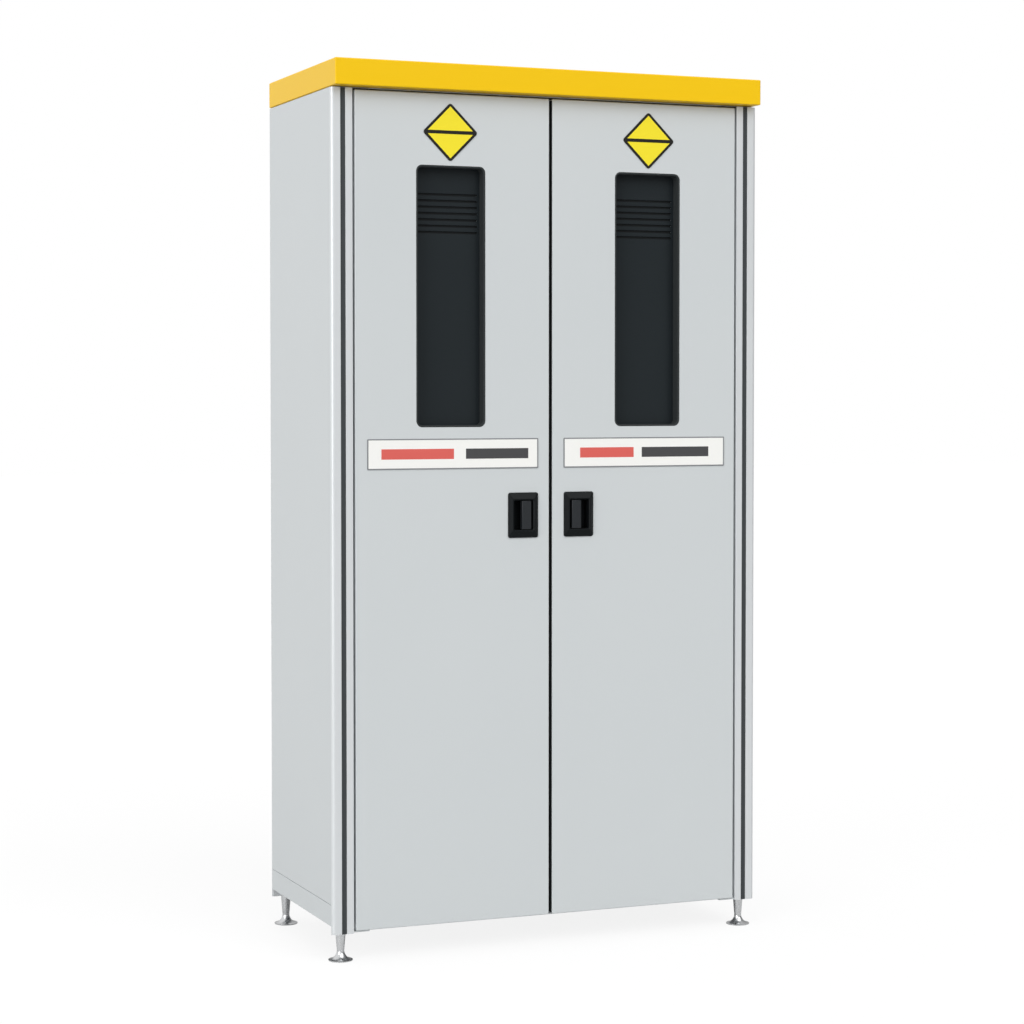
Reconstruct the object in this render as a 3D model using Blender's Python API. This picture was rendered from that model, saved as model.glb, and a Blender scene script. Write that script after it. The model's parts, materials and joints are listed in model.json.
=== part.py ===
"""Two-door gas cylinder cabinet: post frame, sheet panels, top cap, latched doors, levelling feet.

Metres, +Z up, front towards -Y. The origin lies on the floor under the middle of the cap.
Left and right are seen from the front; "side" is -1 on the left and +1 on the right.
"""
import math

import bmesh
import bpy
from mathutils import Matrix, Vector

# Whole cabinet
BODY_WIDTH = 1.000
BODY_DEPTH = 0.445
TOTAL_HEIGHT = 1.900
FIT_GAP = 0.0003
CUT_OVERRUN = 0.002

# Top cap and roof sheet
CAP_HEIGHT = 0.056
CAP_FRONT_OVERHANG = 0.026
CAP_REAR_OVERHANG = 0.004
CAP_SIDE_INSET = 0.002
CAP_SHEET = 0.0015
CAP_EDGE_RADIUS = 0.002
CAP_LIP_BEARING = 0.014
ROOF_SHEET = 0.002
ROOF_INSET = 0.008

# Levelling feet
FOOT_HEIGHT = 0.060
FOOT_INSET = 0.0265
FOOT_DISC_RADIUS = 0.026
FOOT_DISC_EDGE = 0.0025
FOOT_NECK_RADIUS = 0.0078
FOOT_NECK_HEIGHT = 0.021
FOOT_TOP_RADIUS = 0.0122
FOOT_SHANK_RADIUS = 0.006
FOOT_SHANK_LENGTH = 0.040
FOOT_SIDES = 24
FOOT_FLARE_STEPS = 5

# Corner posts with their slot strips
POST_SIZE = 0.048
POST_CORNER_RADIUS = 0.008
POST_SLOT_OFFSET = 0.0215
POST_SLOT_WIDTH = 0.011
POST_SLOT_DEPTH = 0.009
STRIP_RECESS = 0.001
POST_BORE_CLEARANCE = 0.0003
POST_BORE_EXTRA_DEPTH = 0.005
POST_PLUG_COVER = 0.010
POST_WALL = 0.0025

# Rails, panels and floor
RAIL_SIZE = 0.025
RAIL_WALL = 0.0015
TOP_RAIL_HEIGHT = 0.040
BASE_RAIL_RISE = 0.017
BASE_RAIL_HEIGHT = 0.045
PANEL_SHEET = 0.0015
BACK_PANEL_INSET = 0.0025
PANEL_SEAM = 0.001
FLOOR_SHEET = 0.003

# Cylinder brackets on the back
CYLINDER_RADIUS = 0.116
CYLINDER_SEAT_CLEARANCE = 0.004
CYLINDER_COUNT = 3
BRACKET_END_GAP = 0.012
BRACKET_BACK = 0.020
BRACKET_HORN = 0.050
BRACKET_HEIGHT = 0.050
BRACKET_LOWER_LEVEL = 0.450
BRACKET_UPPER_LEVEL = 1.150
SEAT_STEPS = 10

# Doors
DOOR_THICKNESS = 0.030
DOOR_SHEET = 0.0012
DOOR_LINER = 0.0015
DOOR_POST_GAP = 0.005
DOOR_MEETING_GAP = 0.008
DOOR_SWING_CLEARANCE = 0.001
DOOR_RUNNING_GAP = 0.0005

# Pivot plates, pins and bushes
PLATE_THICKNESS = 0.003
PLATE_RISE = 0.0015
PLATE_SETBACK = 0.0045
PIVOT_PLATE_WIDTH = 0.036
PIVOT_FROM_EDGE = 0.012
PIVOT_FROM_FRONT = 0.009
PIN_RADIUS = 0.004
PIN_LENGTH = 0.018
PIN_CLEARANCE = 0.0003
BUSH_SIZE = 0.022
PIN_SIDES = 20

# Windows
WINDOW_WIDTH = 0.158
WINDOW_CORNER = 0.0135
WINDOW_BELOW_PLACARD = 0.0075
WINDOW_OUTWARD = 0.006
WINDOW_ABOVE_LABEL = 0.0244
GASKET_WALL = 0.004
GASKET_SETBACK = 0.0002
PANE_THICKNESS = 0.0029
PANE_MARGIN = 0.010
PANE_LAND = 0.009
VENT_COUNT = 7
VENT_PITCH = 0.0134
VENT_FIRST = 0.060
VENT_HEIGHT = 0.004
ARC_STEPS = 5

# Placards and label plates
PLACARD_SIDE = 0.089
PLACARD_BELOW_DOOR_TOP = 0.0182
PLACARD_OUTWARD = 0.0075
PLACARD_THICKNESS = 0.001
LABEL_SIDE_MARGIN = 0.026
LABEL_HEIGHT = 0.065
LABEL_ABOVE_HANDLE = 0.0525

# Handles
HANDLE_WIDTH = 0.070
HANDLE_HEIGHT = 0.098
HANDLE_CENTRE_HEIGHT = 0.939
HANDLE_FROM_MEETING_EDGE = 0.0265
HANDLE_PROUD = 0.008
HANDLE_CORNER = 0.005
HANDLE_RIM = 0.0025
HANDLE_FACE_BAND = 0.004
HANDLE_PAN_MARGIN = 0.005
HANDLE_PAN_WALL = 0.002
MOUTH_NEAR_MARGIN = 0.013
MOUTH_FAR_MARGIN = 0.012
MOUTH_END_MARGIN = 0.017
MOUTH_SLOPE = 0.002
MOUTH_SLOPE_DEPTH = 0.002
PADDLE_FROM_MOUTH = 0.0045
PADDLE_WIDTH = 0.022
PADDLE_PROUD = 0.007
PADDLE_THICKNESS = 0.011
PADDLE_END_GAP = 0.0012
PADDLE_EDGE_RADIUS = 0.0015
AXLE_FROM_START = 0.0035
AXLE_BEHIND_FRONT = 0.001
AXLE_RADIUS = 0.0025
AXLE_STUB = 0.004
AXLE_CLEARANCE = 0.0003

# Latch rods, their case and the strikes
ROD_WIDTH = 0.012
ROD_THICKNESS = 0.003
ROD_BEHIND_PAN = 0.0008
ROD_SPLIT = 0.015
ROD_TIP_GAP = 0.001
ROD_SLOT_CLEARANCE = 0.0005
CASE_WIDTH = 0.030
CASE_HEIGHT = 0.120
CASE_DEPTH = 0.0059
CASE_SHEET = 0.0012
STRIKE_SIDE_MARGIN = 0.0135
STRIKE_FRONT_MARGIN = 0.0063

# Levels and planes worked out from the sizes above
CAP_BOTTOM = TOTAL_HEIGHT - CAP_HEIGHT
ROOF_BOTTOM = CAP_BOTTOM - FIT_GAP - ROOF_SHEET
POST_TOP = ROOF_BOTTOM - FIT_GAP
CAP_DEPTH = CAP_FRONT_OVERHANG + BODY_DEPTH + CAP_REAR_OVERHANG
FRONT = CAP_FRONT_OVERHANG - CAP_DEPTH / 2
BACK = FRONT + BODY_DEPTH
HALF_WIDTH = BODY_WIDTH / 2
POST_INNER = HALF_WIDTH - POST_SIZE

UPPER_PLATE_BOTTOM = POST_TOP - PLATE_THICKNESS
LOWER_PLATE_BOTTOM = FOOT_HEIGHT + PLATE_RISE
LOWER_PLATE_TOP = LOWER_PLATE_BOTTOM + PLATE_THICKNESS
DOOR_TOP = UPPER_PLATE_BOTTOM - DOOR_RUNNING_GAP
DOOR_BOTTOM = LOWER_PLATE_TOP + DOOR_RUNNING_GAP
DOOR_OUTER = POST_INNER - DOOR_POST_GAP
DOOR_INNER = DOOR_MEETING_GAP / 2
DOOR_CENTRE = (DOOR_OUTER + DOOR_INNER) / 2
WINDOW_CENTRE = DOOR_CENTRE + WINDOW_OUTWARD
PLACARD_CENTRE = DOOR_CENTRE + PLACARD_OUTWARD
DOOR_REAR = FRONT + DOOR_THICKNESS
LINER_FRONT = DOOR_REAR - DOOR_LINER

PIVOT_X = DOOR_OUTER - PIVOT_FROM_EDGE
PIVOT_Y = FRONT + PIVOT_FROM_FRONT
DOOR_SWEEP = math.hypot(PIVOT_FROM_EDGE, DOOR_REAR - PIVOT_Y)
RAIL_FRONT = PIVOT_Y + DOOR_SWEEP + DOOR_SWING_CLEARANCE
RAIL_REAR = RAIL_FRONT + RAIL_SIZE
BASE_RAIL_BOTTOM = FOOT_HEIGHT + BASE_RAIL_RISE
BASE_TOP = BASE_RAIL_BOTTOM + BASE_RAIL_HEIGHT
PANEL_BOTTOM = BASE_TOP + PANEL_SEAM
PANEL_INNER = HALF_WIDTH - PANEL_SHEET
PANEL_FRONT = FRONT + POST_CORNER_RADIUS + FIT_GAP
PANEL_REAR = BACK - POST_CORNER_RADIUS - FIT_GAP
POST_SIDE = PANEL_INNER - FIT_GAP
BACK_PANEL_REAR = BACK - BACK_PANEL_INSET
BACK_PANEL_FRONT = BACK_PANEL_REAR - PANEL_SHEET
SIDE_FRONT = FRONT + POST_SIZE + FIT_GAP
SIDE_REAR = BACK - POST_SIZE - FIT_GAP
BRACKET_HALF = POST_INNER - BRACKET_END_GAP
CYLINDER_PITCH = 2 * BRACKET_HALF / CYLINDER_COUNT

HANDLE_EDGE = DOOR_INNER + HANDLE_FROM_MEETING_EDGE
HANDLE_BOTTOM = HANDLE_CENTRE_HEIGHT - HANDLE_HEIGHT / 2
HANDLE_TOP = HANDLE_CENTRE_HEIGHT + HANDLE_HEIGHT / 2
LABEL_BOTTOM = HANDLE_TOP + LABEL_ABOVE_HANDLE
LABEL_TOP = LABEL_BOTTOM + LABEL_HEIGHT
PLACARD_REACH = PLACARD_SIDE / math.sqrt(2)
PLACARD_CENTRE_HEIGHT = DOOR_TOP - PLACARD_BELOW_DOOR_TOP - PLACARD_REACH
WINDOW_TOP = PLACARD_CENTRE_HEIGHT - PLACARD_REACH - WINDOW_BELOW_PLACARD
WINDOW_BOTTOM = LABEL_TOP + WINDOW_ABOVE_LABEL
WINDOW_HEIGHT = WINDOW_TOP - WINDOW_BOTTOM
VENT_LENGTH = WINDOW_WIDTH - 2 * PANE_LAND
PANE_REAR = LINER_FRONT - FIT_GAP
PANE_FRONT = PANE_REAR - PANE_THICKNESS
GASKET_FRONT = FRONT + GASKET_SETBACK
GASKET_REAR = PANE_FRONT - FIT_GAP

CASE_REAR = LINER_FRONT - FIT_GAP
CASE_FRONT = CASE_REAR - CASE_DEPTH
PAN_REAR = CASE_FRONT - FIT_GAP
MOUTH_EDGE = HANDLE_EDGE + MOUTH_NEAR_MARGIN
MOUTH_WIDTH = HANDLE_WIDTH - MOUTH_NEAR_MARGIN - MOUTH_FAR_MARGIN
MOUTH_HEIGHT = HANDLE_HEIGHT - 2 * MOUTH_END_MARGIN
PADDLE_EDGE = MOUTH_EDGE + PADDLE_FROM_MOUTH
AXLE_X = PADDLE_EDGE + AXLE_FROM_START
AXLE_Y = FRONT + AXLE_BEHIND_FRONT
ROD_X = HANDLE_EDGE + HANDLE_WIDTH / 2
ROD_FRONT = PAN_REAR + ROD_BEHIND_PAN
ROD_REAR = ROD_FRONT + ROD_THICKNESS
STRIKE_HALF = ROD_X + ROD_WIDTH / 2 + ROD_SLOT_CLEARANCE + STRIKE_SIDE_MARGIN
STRIKE_FRONT = ROD_FRONT - ROD_SLOT_CLEARANCE - STRIKE_FRONT_MARGIN

SIDES = {"left": -1, "right": 1}


def clear_scene():
    """Start from an empty file."""
    for item in list(bpy.data.objects):
        bpy.data.objects.remove(item, do_unlink=True)


def finish(name, colour, roughness, metallic):
    """A Principled material for one sub-part."""
    made = bpy.data.materials.new(name)
    made.use_nodes = True
    shader = made.node_tree.nodes["Principled BSDF"]
    shader.inputs["Base Color"].default_value = (*colour, 1.0)
    shader.inputs["Roughness"].default_value = roughness
    shader.inputs["Metallic"].default_value = metallic
    made.diffuse_color = (*colour, 1.0)
    return made


def cabinet_paint(name):
    return finish(name, (0.62, 0.65, 0.66), 0.45, 0.0)


def cap_paint(name):
    return finish(name, (0.90, 0.55, 0.02), 0.40, 0.0)


def post_aluminium(name):
    return finish(name, (0.74, 0.76, 0.77), 0.35, 0.9)


def black_paint(name):
    return finish(name, (0.020, 0.021, 0.022), 0.5, 0.0)


def black_plastic(name):
    return finish(name, (0.018, 0.020, 0.022), 0.45, 0.0)


def black_rubber(name):
    return finish(name, (0.012, 0.013, 0.014), 0.8, 0.0)


def dark_acrylic(name):
    return finish(name, (0.016, 0.020, 0.022), 0.25, 0.0)


def bright_steel(name):
    return finish(name, (0.70, 0.70, 0.70), 0.12, 1.0)


def zinc_steel(name):
    return finish(name, (0.55, 0.56, 0.58), 0.4, 0.9)


def placard_yellow(name):
    return finish(name, (0.92, 0.70, 0.03), 0.4, 0.0)


def label_white(name):
    return finish(name, (0.88, 0.88, 0.88), 0.4, 0.0)


def white_nylon(name):
    return finish(name, (0.80, 0.79, 0.74), 0.5, 0.0)


def block(low, high):
    """A box between two corners."""
    shape = bmesh.new()
    bmesh.ops.create_cube(shape, size=1.0)
    low = Vector(low)
    high = Vector(high)
    bmesh.ops.scale(shape, vec=high - low, verts=shape.verts)
    bmesh.ops.translate(shape, vec=(low + high) / 2, verts=shape.verts)
    return shape


def side_block(side, near, far, front, rear, bottom, top):
    """A box given by its distances from the middle plane, on one side of it."""
    ends = sorted((side * near, side * far))
    return block((ends[0], front, bottom), (ends[1], rear, top))


def round_corner(centre, radius, start_deg, steps):
    """Points of a quarter turn, counter-clockwise from start_deg."""
    points = []
    for step in range(steps + 1):
        angle = math.radians(start_deg + 90.0 * step / steps)
        points.append((centre[0] + radius * math.cos(angle), centre[1] + radius * math.sin(angle)))
    return points


def rounded_rectangle(centre, width, height, radius, steps=ARC_STEPS):
    """A rectangle with round corners, counter-clockwise."""
    across = width / 2 - radius
    up = height / 2 - radius
    points = []
    for start, sign_a, sign_b in ((0, 1, 1), (90, -1, 1), (180, -1, -1), (270, 1, -1)):
        corner = (centre[0] + sign_a * across, centre[1] + sign_b * up)
        points += round_corner(corner, radius, start, steps)
    return points


def prism(outline, axis, low, high):
    """An outline in the plane across an axis, extruded along it from low to high."""
    shape = bmesh.new()
    corners = []
    for first, second in outline:
        place = {"X": (low, first, second), "Y": (first, low, second), "Z": (first, second, low)}[axis]
        corners.append(shape.verts.new(place))
    face = shape.faces.new(corners)
    grown = bmesh.ops.extrude_face_region(shape, geom=[face])
    moved = [item for item in grown["geom"] if isinstance(item, bmesh.types.BMVert)]
    push = {"X": (high - low, 0, 0), "Y": (0, high - low, 0), "Z": (0, 0, high - low)}[axis]
    bmesh.ops.translate(shape, vec=push, verts=moved)
    bmesh.ops.recalc_face_normals(shape, faces=shape.faces)
    return shape


def rod_along_z(centre, radius, bottom, top, sides):
    """A round bar standing on end."""
    shape = bmesh.new()
    bmesh.ops.create_cone(shape, cap_ends=True, segments=sides, radius1=radius, radius2=radius,
                          depth=top - bottom)
    middle = Vector((centre[0], centre[1], (bottom + top) / 2))
    bmesh.ops.translate(shape, vec=middle, verts=shape.verts)
    return shape


def turned(profile, centre, sides):
    """A solid of revolution about a vertical axis; the profile runs from axis to axis."""
    shape = bmesh.new()
    points = [shape.verts.new((radius, 0, height)) for radius, height in profile]
    edges = [shape.edges.new(pair) for pair in zip(points, points[1:])]
    bmesh.ops.spin(shape, geom=points + edges, cent=(0, 0, 0), axis=(0, 0, 1),
                   angle=math.tau, steps=sides, use_merge=True)
    bmesh.ops.remove_doubles(shape, verts=shape.verts, dist=FIT_GAP / 10)
    bmesh.ops.recalc_face_normals(shape, faces=shape.faces)
    bmesh.ops.translate(shape, vec=(centre[0], centre[1], 0), verts=shape.verts)
    return shape


def soften(shape, width, segments, chooser):
    """Bevel the edges that the chooser picks."""
    edges = [edge for edge in shape.edges if chooser(edge)]
    bmesh.ops.bevel(shape, geom=edges, offset=width, segments=segments, profile=0.5,
                    affect="EDGES", material=-1)
    return shape


def runs_along(axis):
    """Pick edges parallel to an axis."""
    index = "XYZ".index(axis)

    def chooser(edge):
        span = edge.verts[0].co - edge.verts[1].co
        return abs(span[index]) > span.length * 0.99
    return chooser


def on_plane_y(level):
    """Pick edges that lie on the plane y = level."""
    def chooser(edge):
        return all(abs(vert.co.y - level) < FIT_GAP / 10 for vert in edge.verts)
    return chooser


def piece(name, shape, material, carrier=None, origin=(0, 0, 0), smooth=False):
    """Turn a shape in world coordinates into a named object with its origin on its axis."""
    origin = Vector(origin)
    bmesh.ops.translate(shape, vec=-origin, verts=shape.verts)
    mesh = bpy.data.meshes.new(name)
    shape.to_mesh(mesh)
    shape.free()
    if smooth:
        mesh.shade_smooth()
        mesh.set_sharp_from_angle(angle=math.radians(35))
    mesh.materials.append(material)
    made = bpy.data.objects.new(name, mesh)
    bpy.context.scene.collection.objects.link(made)
    made.location = origin
    if carrier is not None:
        made.parent = carrier
        made.location = origin - carrier.location
    return made


def use_tool(target, shape, operation, label):
    """Add a Boolean whose hidden tool has its mesh in world coordinates and follows the target."""
    mesh = bpy.data.meshes.new(f"{target.name}_{label}")
    shape.to_mesh(mesh)
    shape.free()
    tool = bpy.data.objects.new(mesh.name, mesh)
    bpy.context.scene.collection.objects.link(tool)
    tool.parent = target
    carried = target.parent.location if target.parent else Vector((0, 0, 0))
    tool.location = -(target.location + carried)
    tool.hide_render = True
    tool.display_type = "WIRE"
    step = target.modifiers.new(label, "BOOLEAN")
    step.operation = operation
    step.solver = "EXACT"
    step.object = tool


def cut(target, shape, label):
    use_tool(target, shape, "DIFFERENCE", label)


def add(target, shape, label):
    use_tool(target, shape, "UNION", label)


def axis_point(name, place):
    """An empty on a door's pivot axis, which carries the door's pieces."""
    empty = bpy.data.objects.new(name, None)
    empty.empty_display_size = PIVOT_PLATE_WIDTH
    bpy.context.scene.collection.objects.link(empty)
    empty.location = place
    return empty


def post_outline(side, end):
    """The post's outer section: a square with one round corner and a slot in its outer face.

    Behind the round corner its side is set in, so that the side sheets lie over it.
    end is -1 at the front and +1 at the rear.
    """
    outer_face = FRONT if end < 0 else BACK
    slot_end = POST_SLOT_OFFSET + POST_SLOT_WIDTH
    places = [(POST_SLOT_OFFSET, 0), (POST_SLOT_OFFSET, POST_SLOT_DEPTH), (slot_end, POST_SLOT_DEPTH),
              (slot_end, 0), (POST_SIZE, 0), (POST_SIZE, POST_SIZE),
              (HALF_WIDTH - POST_SIDE, POST_SIZE), (HALF_WIDTH - POST_SIDE, POST_CORNER_RADIUS)]
    places += round_corner((POST_CORNER_RADIUS, POST_CORNER_RADIUS), POST_CORNER_RADIUS, 180, ARC_STEPS)
    return [(side * (HALF_WIDTH - inward), outer_face - end * deep) for inward, deep in places]


def foot_place(side, end):
    """The axis of a foot, which is also that of the bore in the post above it."""
    outer_face = FRONT if end < 0 else BACK
    return (side * (HALF_WIDTH - FOOT_INSET), outer_face - end * FOOT_INSET)


def make_post(name, side, end):
    """A post with its foot's bore, a hollow core, and only its outer wall below the base rails."""
    post = piece(name, prism(post_outline(side, end), "Z", FOOT_HEIGHT, POST_TOP), post_aluminium(name))
    outer_face = FRONT if end < 0 else BACK
    slot_floor = outer_face - end * (POST_SLOT_DEPTH + POST_WALL)
    depths = sorted((slot_floor, outer_face - end * (POST_SIZE + CUT_OVERRUN)))
    heel = side_block(side, POST_INNER - CUT_OVERRUN, HALF_WIDTH + CUT_OVERRUN, *depths,
                      FOOT_HEIGHT - CUT_OVERRUN, BASE_RAIL_BOTTOM)
    cut(post, heel, "heel")
    bore_top = BASE_RAIL_BOTTOM + FOOT_SHANK_LENGTH + POST_BORE_EXTRA_DEPTH
    bore = rod_along_z(foot_place(side, end), FOOT_SHANK_RADIUS + POST_BORE_CLEARANCE,
                       BASE_RAIL_BOTTOM - CUT_OVERRUN, bore_top, PIN_SIDES)
    cut(post, bore, "bore")
    depths = sorted((slot_floor, outer_face - end * (POST_SIZE - POST_WALL)))
    core = side_block(side, POST_INNER + POST_WALL, POST_SIDE - POST_WALL, *depths,
                      bore_top + POST_PLUG_COVER, POST_TOP + CUT_OVERRUN)
    cut(post, core, "core")


def make_slot_strip(name, side, end):
    outer_face = FRONT if end < 0 else BACK
    near = HALF_WIDTH - POST_SLOT_OFFSET - POST_SLOT_WIDTH + FIT_GAP
    far = HALF_WIDTH - POST_SLOT_OFFSET - FIT_GAP
    depths = sorted((outer_face - end * STRIP_RECESS, outer_face - end * (POST_SLOT_DEPTH - FIT_GAP)))
    piece(name, side_block(side, near, far, *depths, FOOT_HEIGHT, POST_TOP), black_plastic(name))


def foot_profile():
    """Half section of a foot: flat disc, hollow flare, waist, tapered stem and shank."""
    shoulder = BASE_RAIL_BOTTOM - FIT_GAP
    end = BASE_RAIL_BOTTOM + FOOT_SHANK_LENGTH
    points = [(0, 0), (FOOT_DISC_RADIUS, 0), (FOOT_DISC_RADIUS, FOOT_DISC_EDGE)]
    drop = FOOT_NECK_HEIGHT - FOOT_DISC_EDGE
    for step in range(1, FOOT_FLARE_STEPS + 1):
        angle = math.radians(90.0 * step / FOOT_FLARE_STEPS)
        radius = FOOT_NECK_RADIUS + (FOOT_DISC_RADIUS - FOOT_NECK_RADIUS) * (1 - math.sin(angle))
        points.append((radius, FOOT_DISC_EDGE + drop * (1 - math.cos(angle))))
    points += [(FOOT_TOP_RADIUS, shoulder), (FOOT_SHANK_RADIUS, shoulder),
               (FOOT_SHANK_RADIUS, end), (0, end)]
    return points


def make_foot(name, side, end):
    place = foot_place(side, end)
    piece(name, turned(foot_profile(), place, FOOT_SIDES), bright_steel(name),
          origin=(*place, 0), smooth=True)


def make_corners():
    """Posts, slot strips and feet at the four corners."""
    for side_name, side in SIDES.items():
        for end_name, end in (("front", -1), ("rear", 1)):
            corner = f"{end_name}_{side_name}"
            make_post(f"post_{corner}", side, end)
            make_slot_strip(f"slot_strip_{corner}", side, end)
            make_foot(f"foot_{corner}", side, end)


def make_cap():
    """A folded cap: top, four skirts and a lip that turns in below and bears on the roof."""
    half = HALF_WIDTH - CAP_SIDE_INSET
    front = FRONT - CAP_FRONT_OVERHANG
    rear = BACK + CAP_REAR_OVERHANG
    outer = block((-half, front, CAP_BOTTOM), (half, rear, TOTAL_HEIGHT))
    soften(outer, CAP_EDGE_RADIUS, 2, runs_along("Z"))
    cap = piece("top_cap", outer, cap_paint("top_cap"))
    hollow = block((-half + CAP_SHEET, front + CAP_SHEET, CAP_BOTTOM + CAP_SHEET),
                   (half - CAP_SHEET, rear - CAP_SHEET, TOTAL_HEIGHT - CAP_SHEET))
    cut(cap, hollow, "hollow")
    lip = ROOF_INSET + CAP_LIP_BEARING
    mouth = block((-HALF_WIDTH + lip, FRONT + lip, CAP_BOTTOM - CUT_OVERRUN),
                  (HALF_WIDTH - lip, BACK - lip, CAP_BOTTOM + CAP_SHEET + CUT_OVERRUN))
    cut(cap, mouth, "mouth")


def make_roof():
    half = HALF_WIDTH - ROOF_INSET
    piece("roof_panel", block((-half, FRONT + ROOF_INSET, ROOF_BOTTOM),
                              (half, BACK - ROOF_INSET, ROOF_BOTTOM + ROOF_SHEET)),
          cabinet_paint("roof_panel"))


def make_cross_rails():
    """Tubes from post to post, at the front behind the doors and at the back inside the panel."""
    half = POST_INNER - FIT_GAP
    back_rear = BACK_PANEL_FRONT - FIT_GAP
    top_bottom = POST_TOP - TOP_RAIL_HEIGHT
    rails = {
        "rail_front_top": (RAIL_FRONT, RAIL_REAR, top_bottom, UPPER_PLATE_BOTTOM - FIT_GAP),
        "rail_front_bottom": (RAIL_FRONT, RAIL_REAR, LOWER_PLATE_TOP + FIT_GAP, BASE_TOP),
        "rail_rear_top": (back_rear - RAIL_SIZE, back_rear, top_bottom, POST_TOP),
        "rail_rear_bottom": (BACK_PANEL_REAR - RAIL_SIZE, BACK_PANEL_REAR, BASE_RAIL_BOTTOM, BASE_TOP),
    }
    for name, (front, rear, bottom, top) in rails.items():
        rail = piece(name, block((-half, front, bottom), (half, rear, top)), cabinet_paint(name))
        cut(rail, block((-half - CUT_OVERRUN, front + RAIL_WALL, bottom + RAIL_WALL),
                        (half + CUT_OVERRUN, rear - RAIL_WALL, top - RAIL_WALL)), "tube")


def make_side_rail(name, side, outer, bottom, top):
    """A tube from the front post to the rear post."""
    inner = POST_SIDE - RAIL_SIZE
    rail = piece(name, side_block(side, inner, outer, SIDE_FRONT, SIDE_REAR, bottom, top),
                 cabinet_paint(name))
    cut(rail, side_block(side, inner + RAIL_WALL, outer - RAIL_WALL,
                         SIDE_FRONT - CUT_OVERRUN, SIDE_REAR + CUT_OVERRUN,
                         bottom + RAIL_WALL, top - RAIL_WALL), "tube")
    return rail


def make_sides():
    """A panel and, under its seam, a base rail whose outer wall laps the posts as the panel does."""
    for side_name, side in SIDES.items():
        rail = make_side_rail(f"base_rail_{side_name}", side, HALF_WIDTH, BASE_RAIL_BOTTOM, BASE_TOP)
        add(rail, side_block(side, PANEL_INNER, HALF_WIDTH, PANEL_FRONT, PANEL_REAR,
                             BASE_RAIL_BOTTOM, BASE_TOP), "lap")
        name = f"side_panel_{side_name}"
        piece(name, side_block(side, PANEL_INNER, HALF_WIDTH, PANEL_FRONT, PANEL_REAR,
                               PANEL_BOTTOM, POST_TOP), cabinet_paint(name))
        make_side_rail(f"top_rail_{side_name}", side, POST_SIDE, POST_TOP - TOP_RAIL_HEIGHT, POST_TOP)


def make_back_and_floor():
    half = POST_INNER - FIT_GAP
    piece("back_panel", block((-half, BACK_PANEL_FRONT, PANEL_BOTTOM), (half, BACK_PANEL_REAR, POST_TOP)),
          cabinet_paint("back_panel"))
    rear = BACK_PANEL_FRONT - FIT_GAP
    corners = [(half, RAIL_FRONT), (half, SIDE_FRONT), (POST_SIDE, SIDE_FRONT),
               (POST_SIDE, SIDE_REAR), (half, SIDE_REAR), (half, rear)]
    outline = corners + [(-across, along) for across, along in reversed(corners)]
    bottom = BASE_TOP + FIT_GAP
    piece("floor_panel", prism(outline, "Z", bottom, bottom + FLOOR_SHEET), zinc_steel("floor_panel"))


def bracket_outline():
    """A bar along the back with a round seat for each cylinder between its horns."""
    rear = BACK_PANEL_FRONT - FIT_GAP
    radius = CYLINDER_RADIUS + CYLINDER_SEAT_CLEARANCE
    seat_front = rear - BRACKET_BACK - BRACKET_HORN
    centre_y = rear - BRACKET_BACK - radius
    reach = math.acos((radius - BRACKET_HORN) / radius)
    points = [(BRACKET_HALF, rear), (-BRACKET_HALF, rear), (-BRACKET_HALF, seat_front)]
    for number in range(CYLINDER_COUNT):
        centre_x = (number - (CYLINDER_COUNT - 1) / 2) * CYLINDER_PITCH
        for step in range(SEAT_STEPS + 1):
            angle = reach * (2 * step / SEAT_STEPS - 1)
            points.append((centre_x + radius * math.sin(angle), centre_y + radius * math.cos(angle)))
    points.append((BRACKET_HALF, seat_front))
    return points


def make_brackets():
    levels = {"lower": BRACKET_LOWER_LEVEL, "upper": BRACKET_UPPER_LEVEL}
    for level_name, level in levels.items():
        name = f"cylinder_bracket_{level_name}"
        piece(name, prism(bracket_outline(), "Z", level, level + BRACKET_HEIGHT), black_plastic(name))


def make_pivots():
    """Plates with a pin, above and below each door's outer edge."""
    post_face = POST_INNER - FIT_GAP
    for side_name, side in SIDES.items():
        centre = (side * PIVOT_X, PIVOT_Y)
        levels = {
            "upper": (UPPER_PLATE_BOTTOM, DOOR_TOP + DOOR_RUNNING_GAP - PIN_LENGTH, UPPER_PLATE_BOTTOM),
            "lower": (LOWER_PLATE_BOTTOM, LOWER_PLATE_TOP, LOWER_PLATE_TOP + PIN_LENGTH),
        }
        for level_name, (plate_bottom, pin_low, pin_high) in levels.items():
            name = f"pivot_{level_name}_{side_name}"
            plate = side_block(side, post_face - PIVOT_PLATE_WIDTH, post_face, FRONT + PLATE_SETBACK,
                               RAIL_REAR, plate_bottom, plate_bottom + PLATE_THICKNESS)
            paint = black_paint if level_name == "upper" else cabinet_paint
            pivot = piece(name, plate, paint(name))
            overlap = PLATE_THICKNESS / 2
            low = pin_low - overlap if level_name == "lower" else pin_low
            high = pin_high + overlap if level_name == "upper" else pin_high
            add(pivot, rod_along_z(centre, PIN_RADIUS, low, high, PIN_SIDES), "pin")


def rod_slot(side, bottom, top):
    """The hole that lets a latch rod through a sheet or a strike."""
    gap = ROD_SLOT_CLEARANCE
    return side_block(side, ROD_X - ROD_WIDTH / 2 - gap, ROD_X + ROD_WIDTH / 2 + gap,
                      ROD_FRONT - gap, ROD_REAR + gap, bottom, top)


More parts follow.
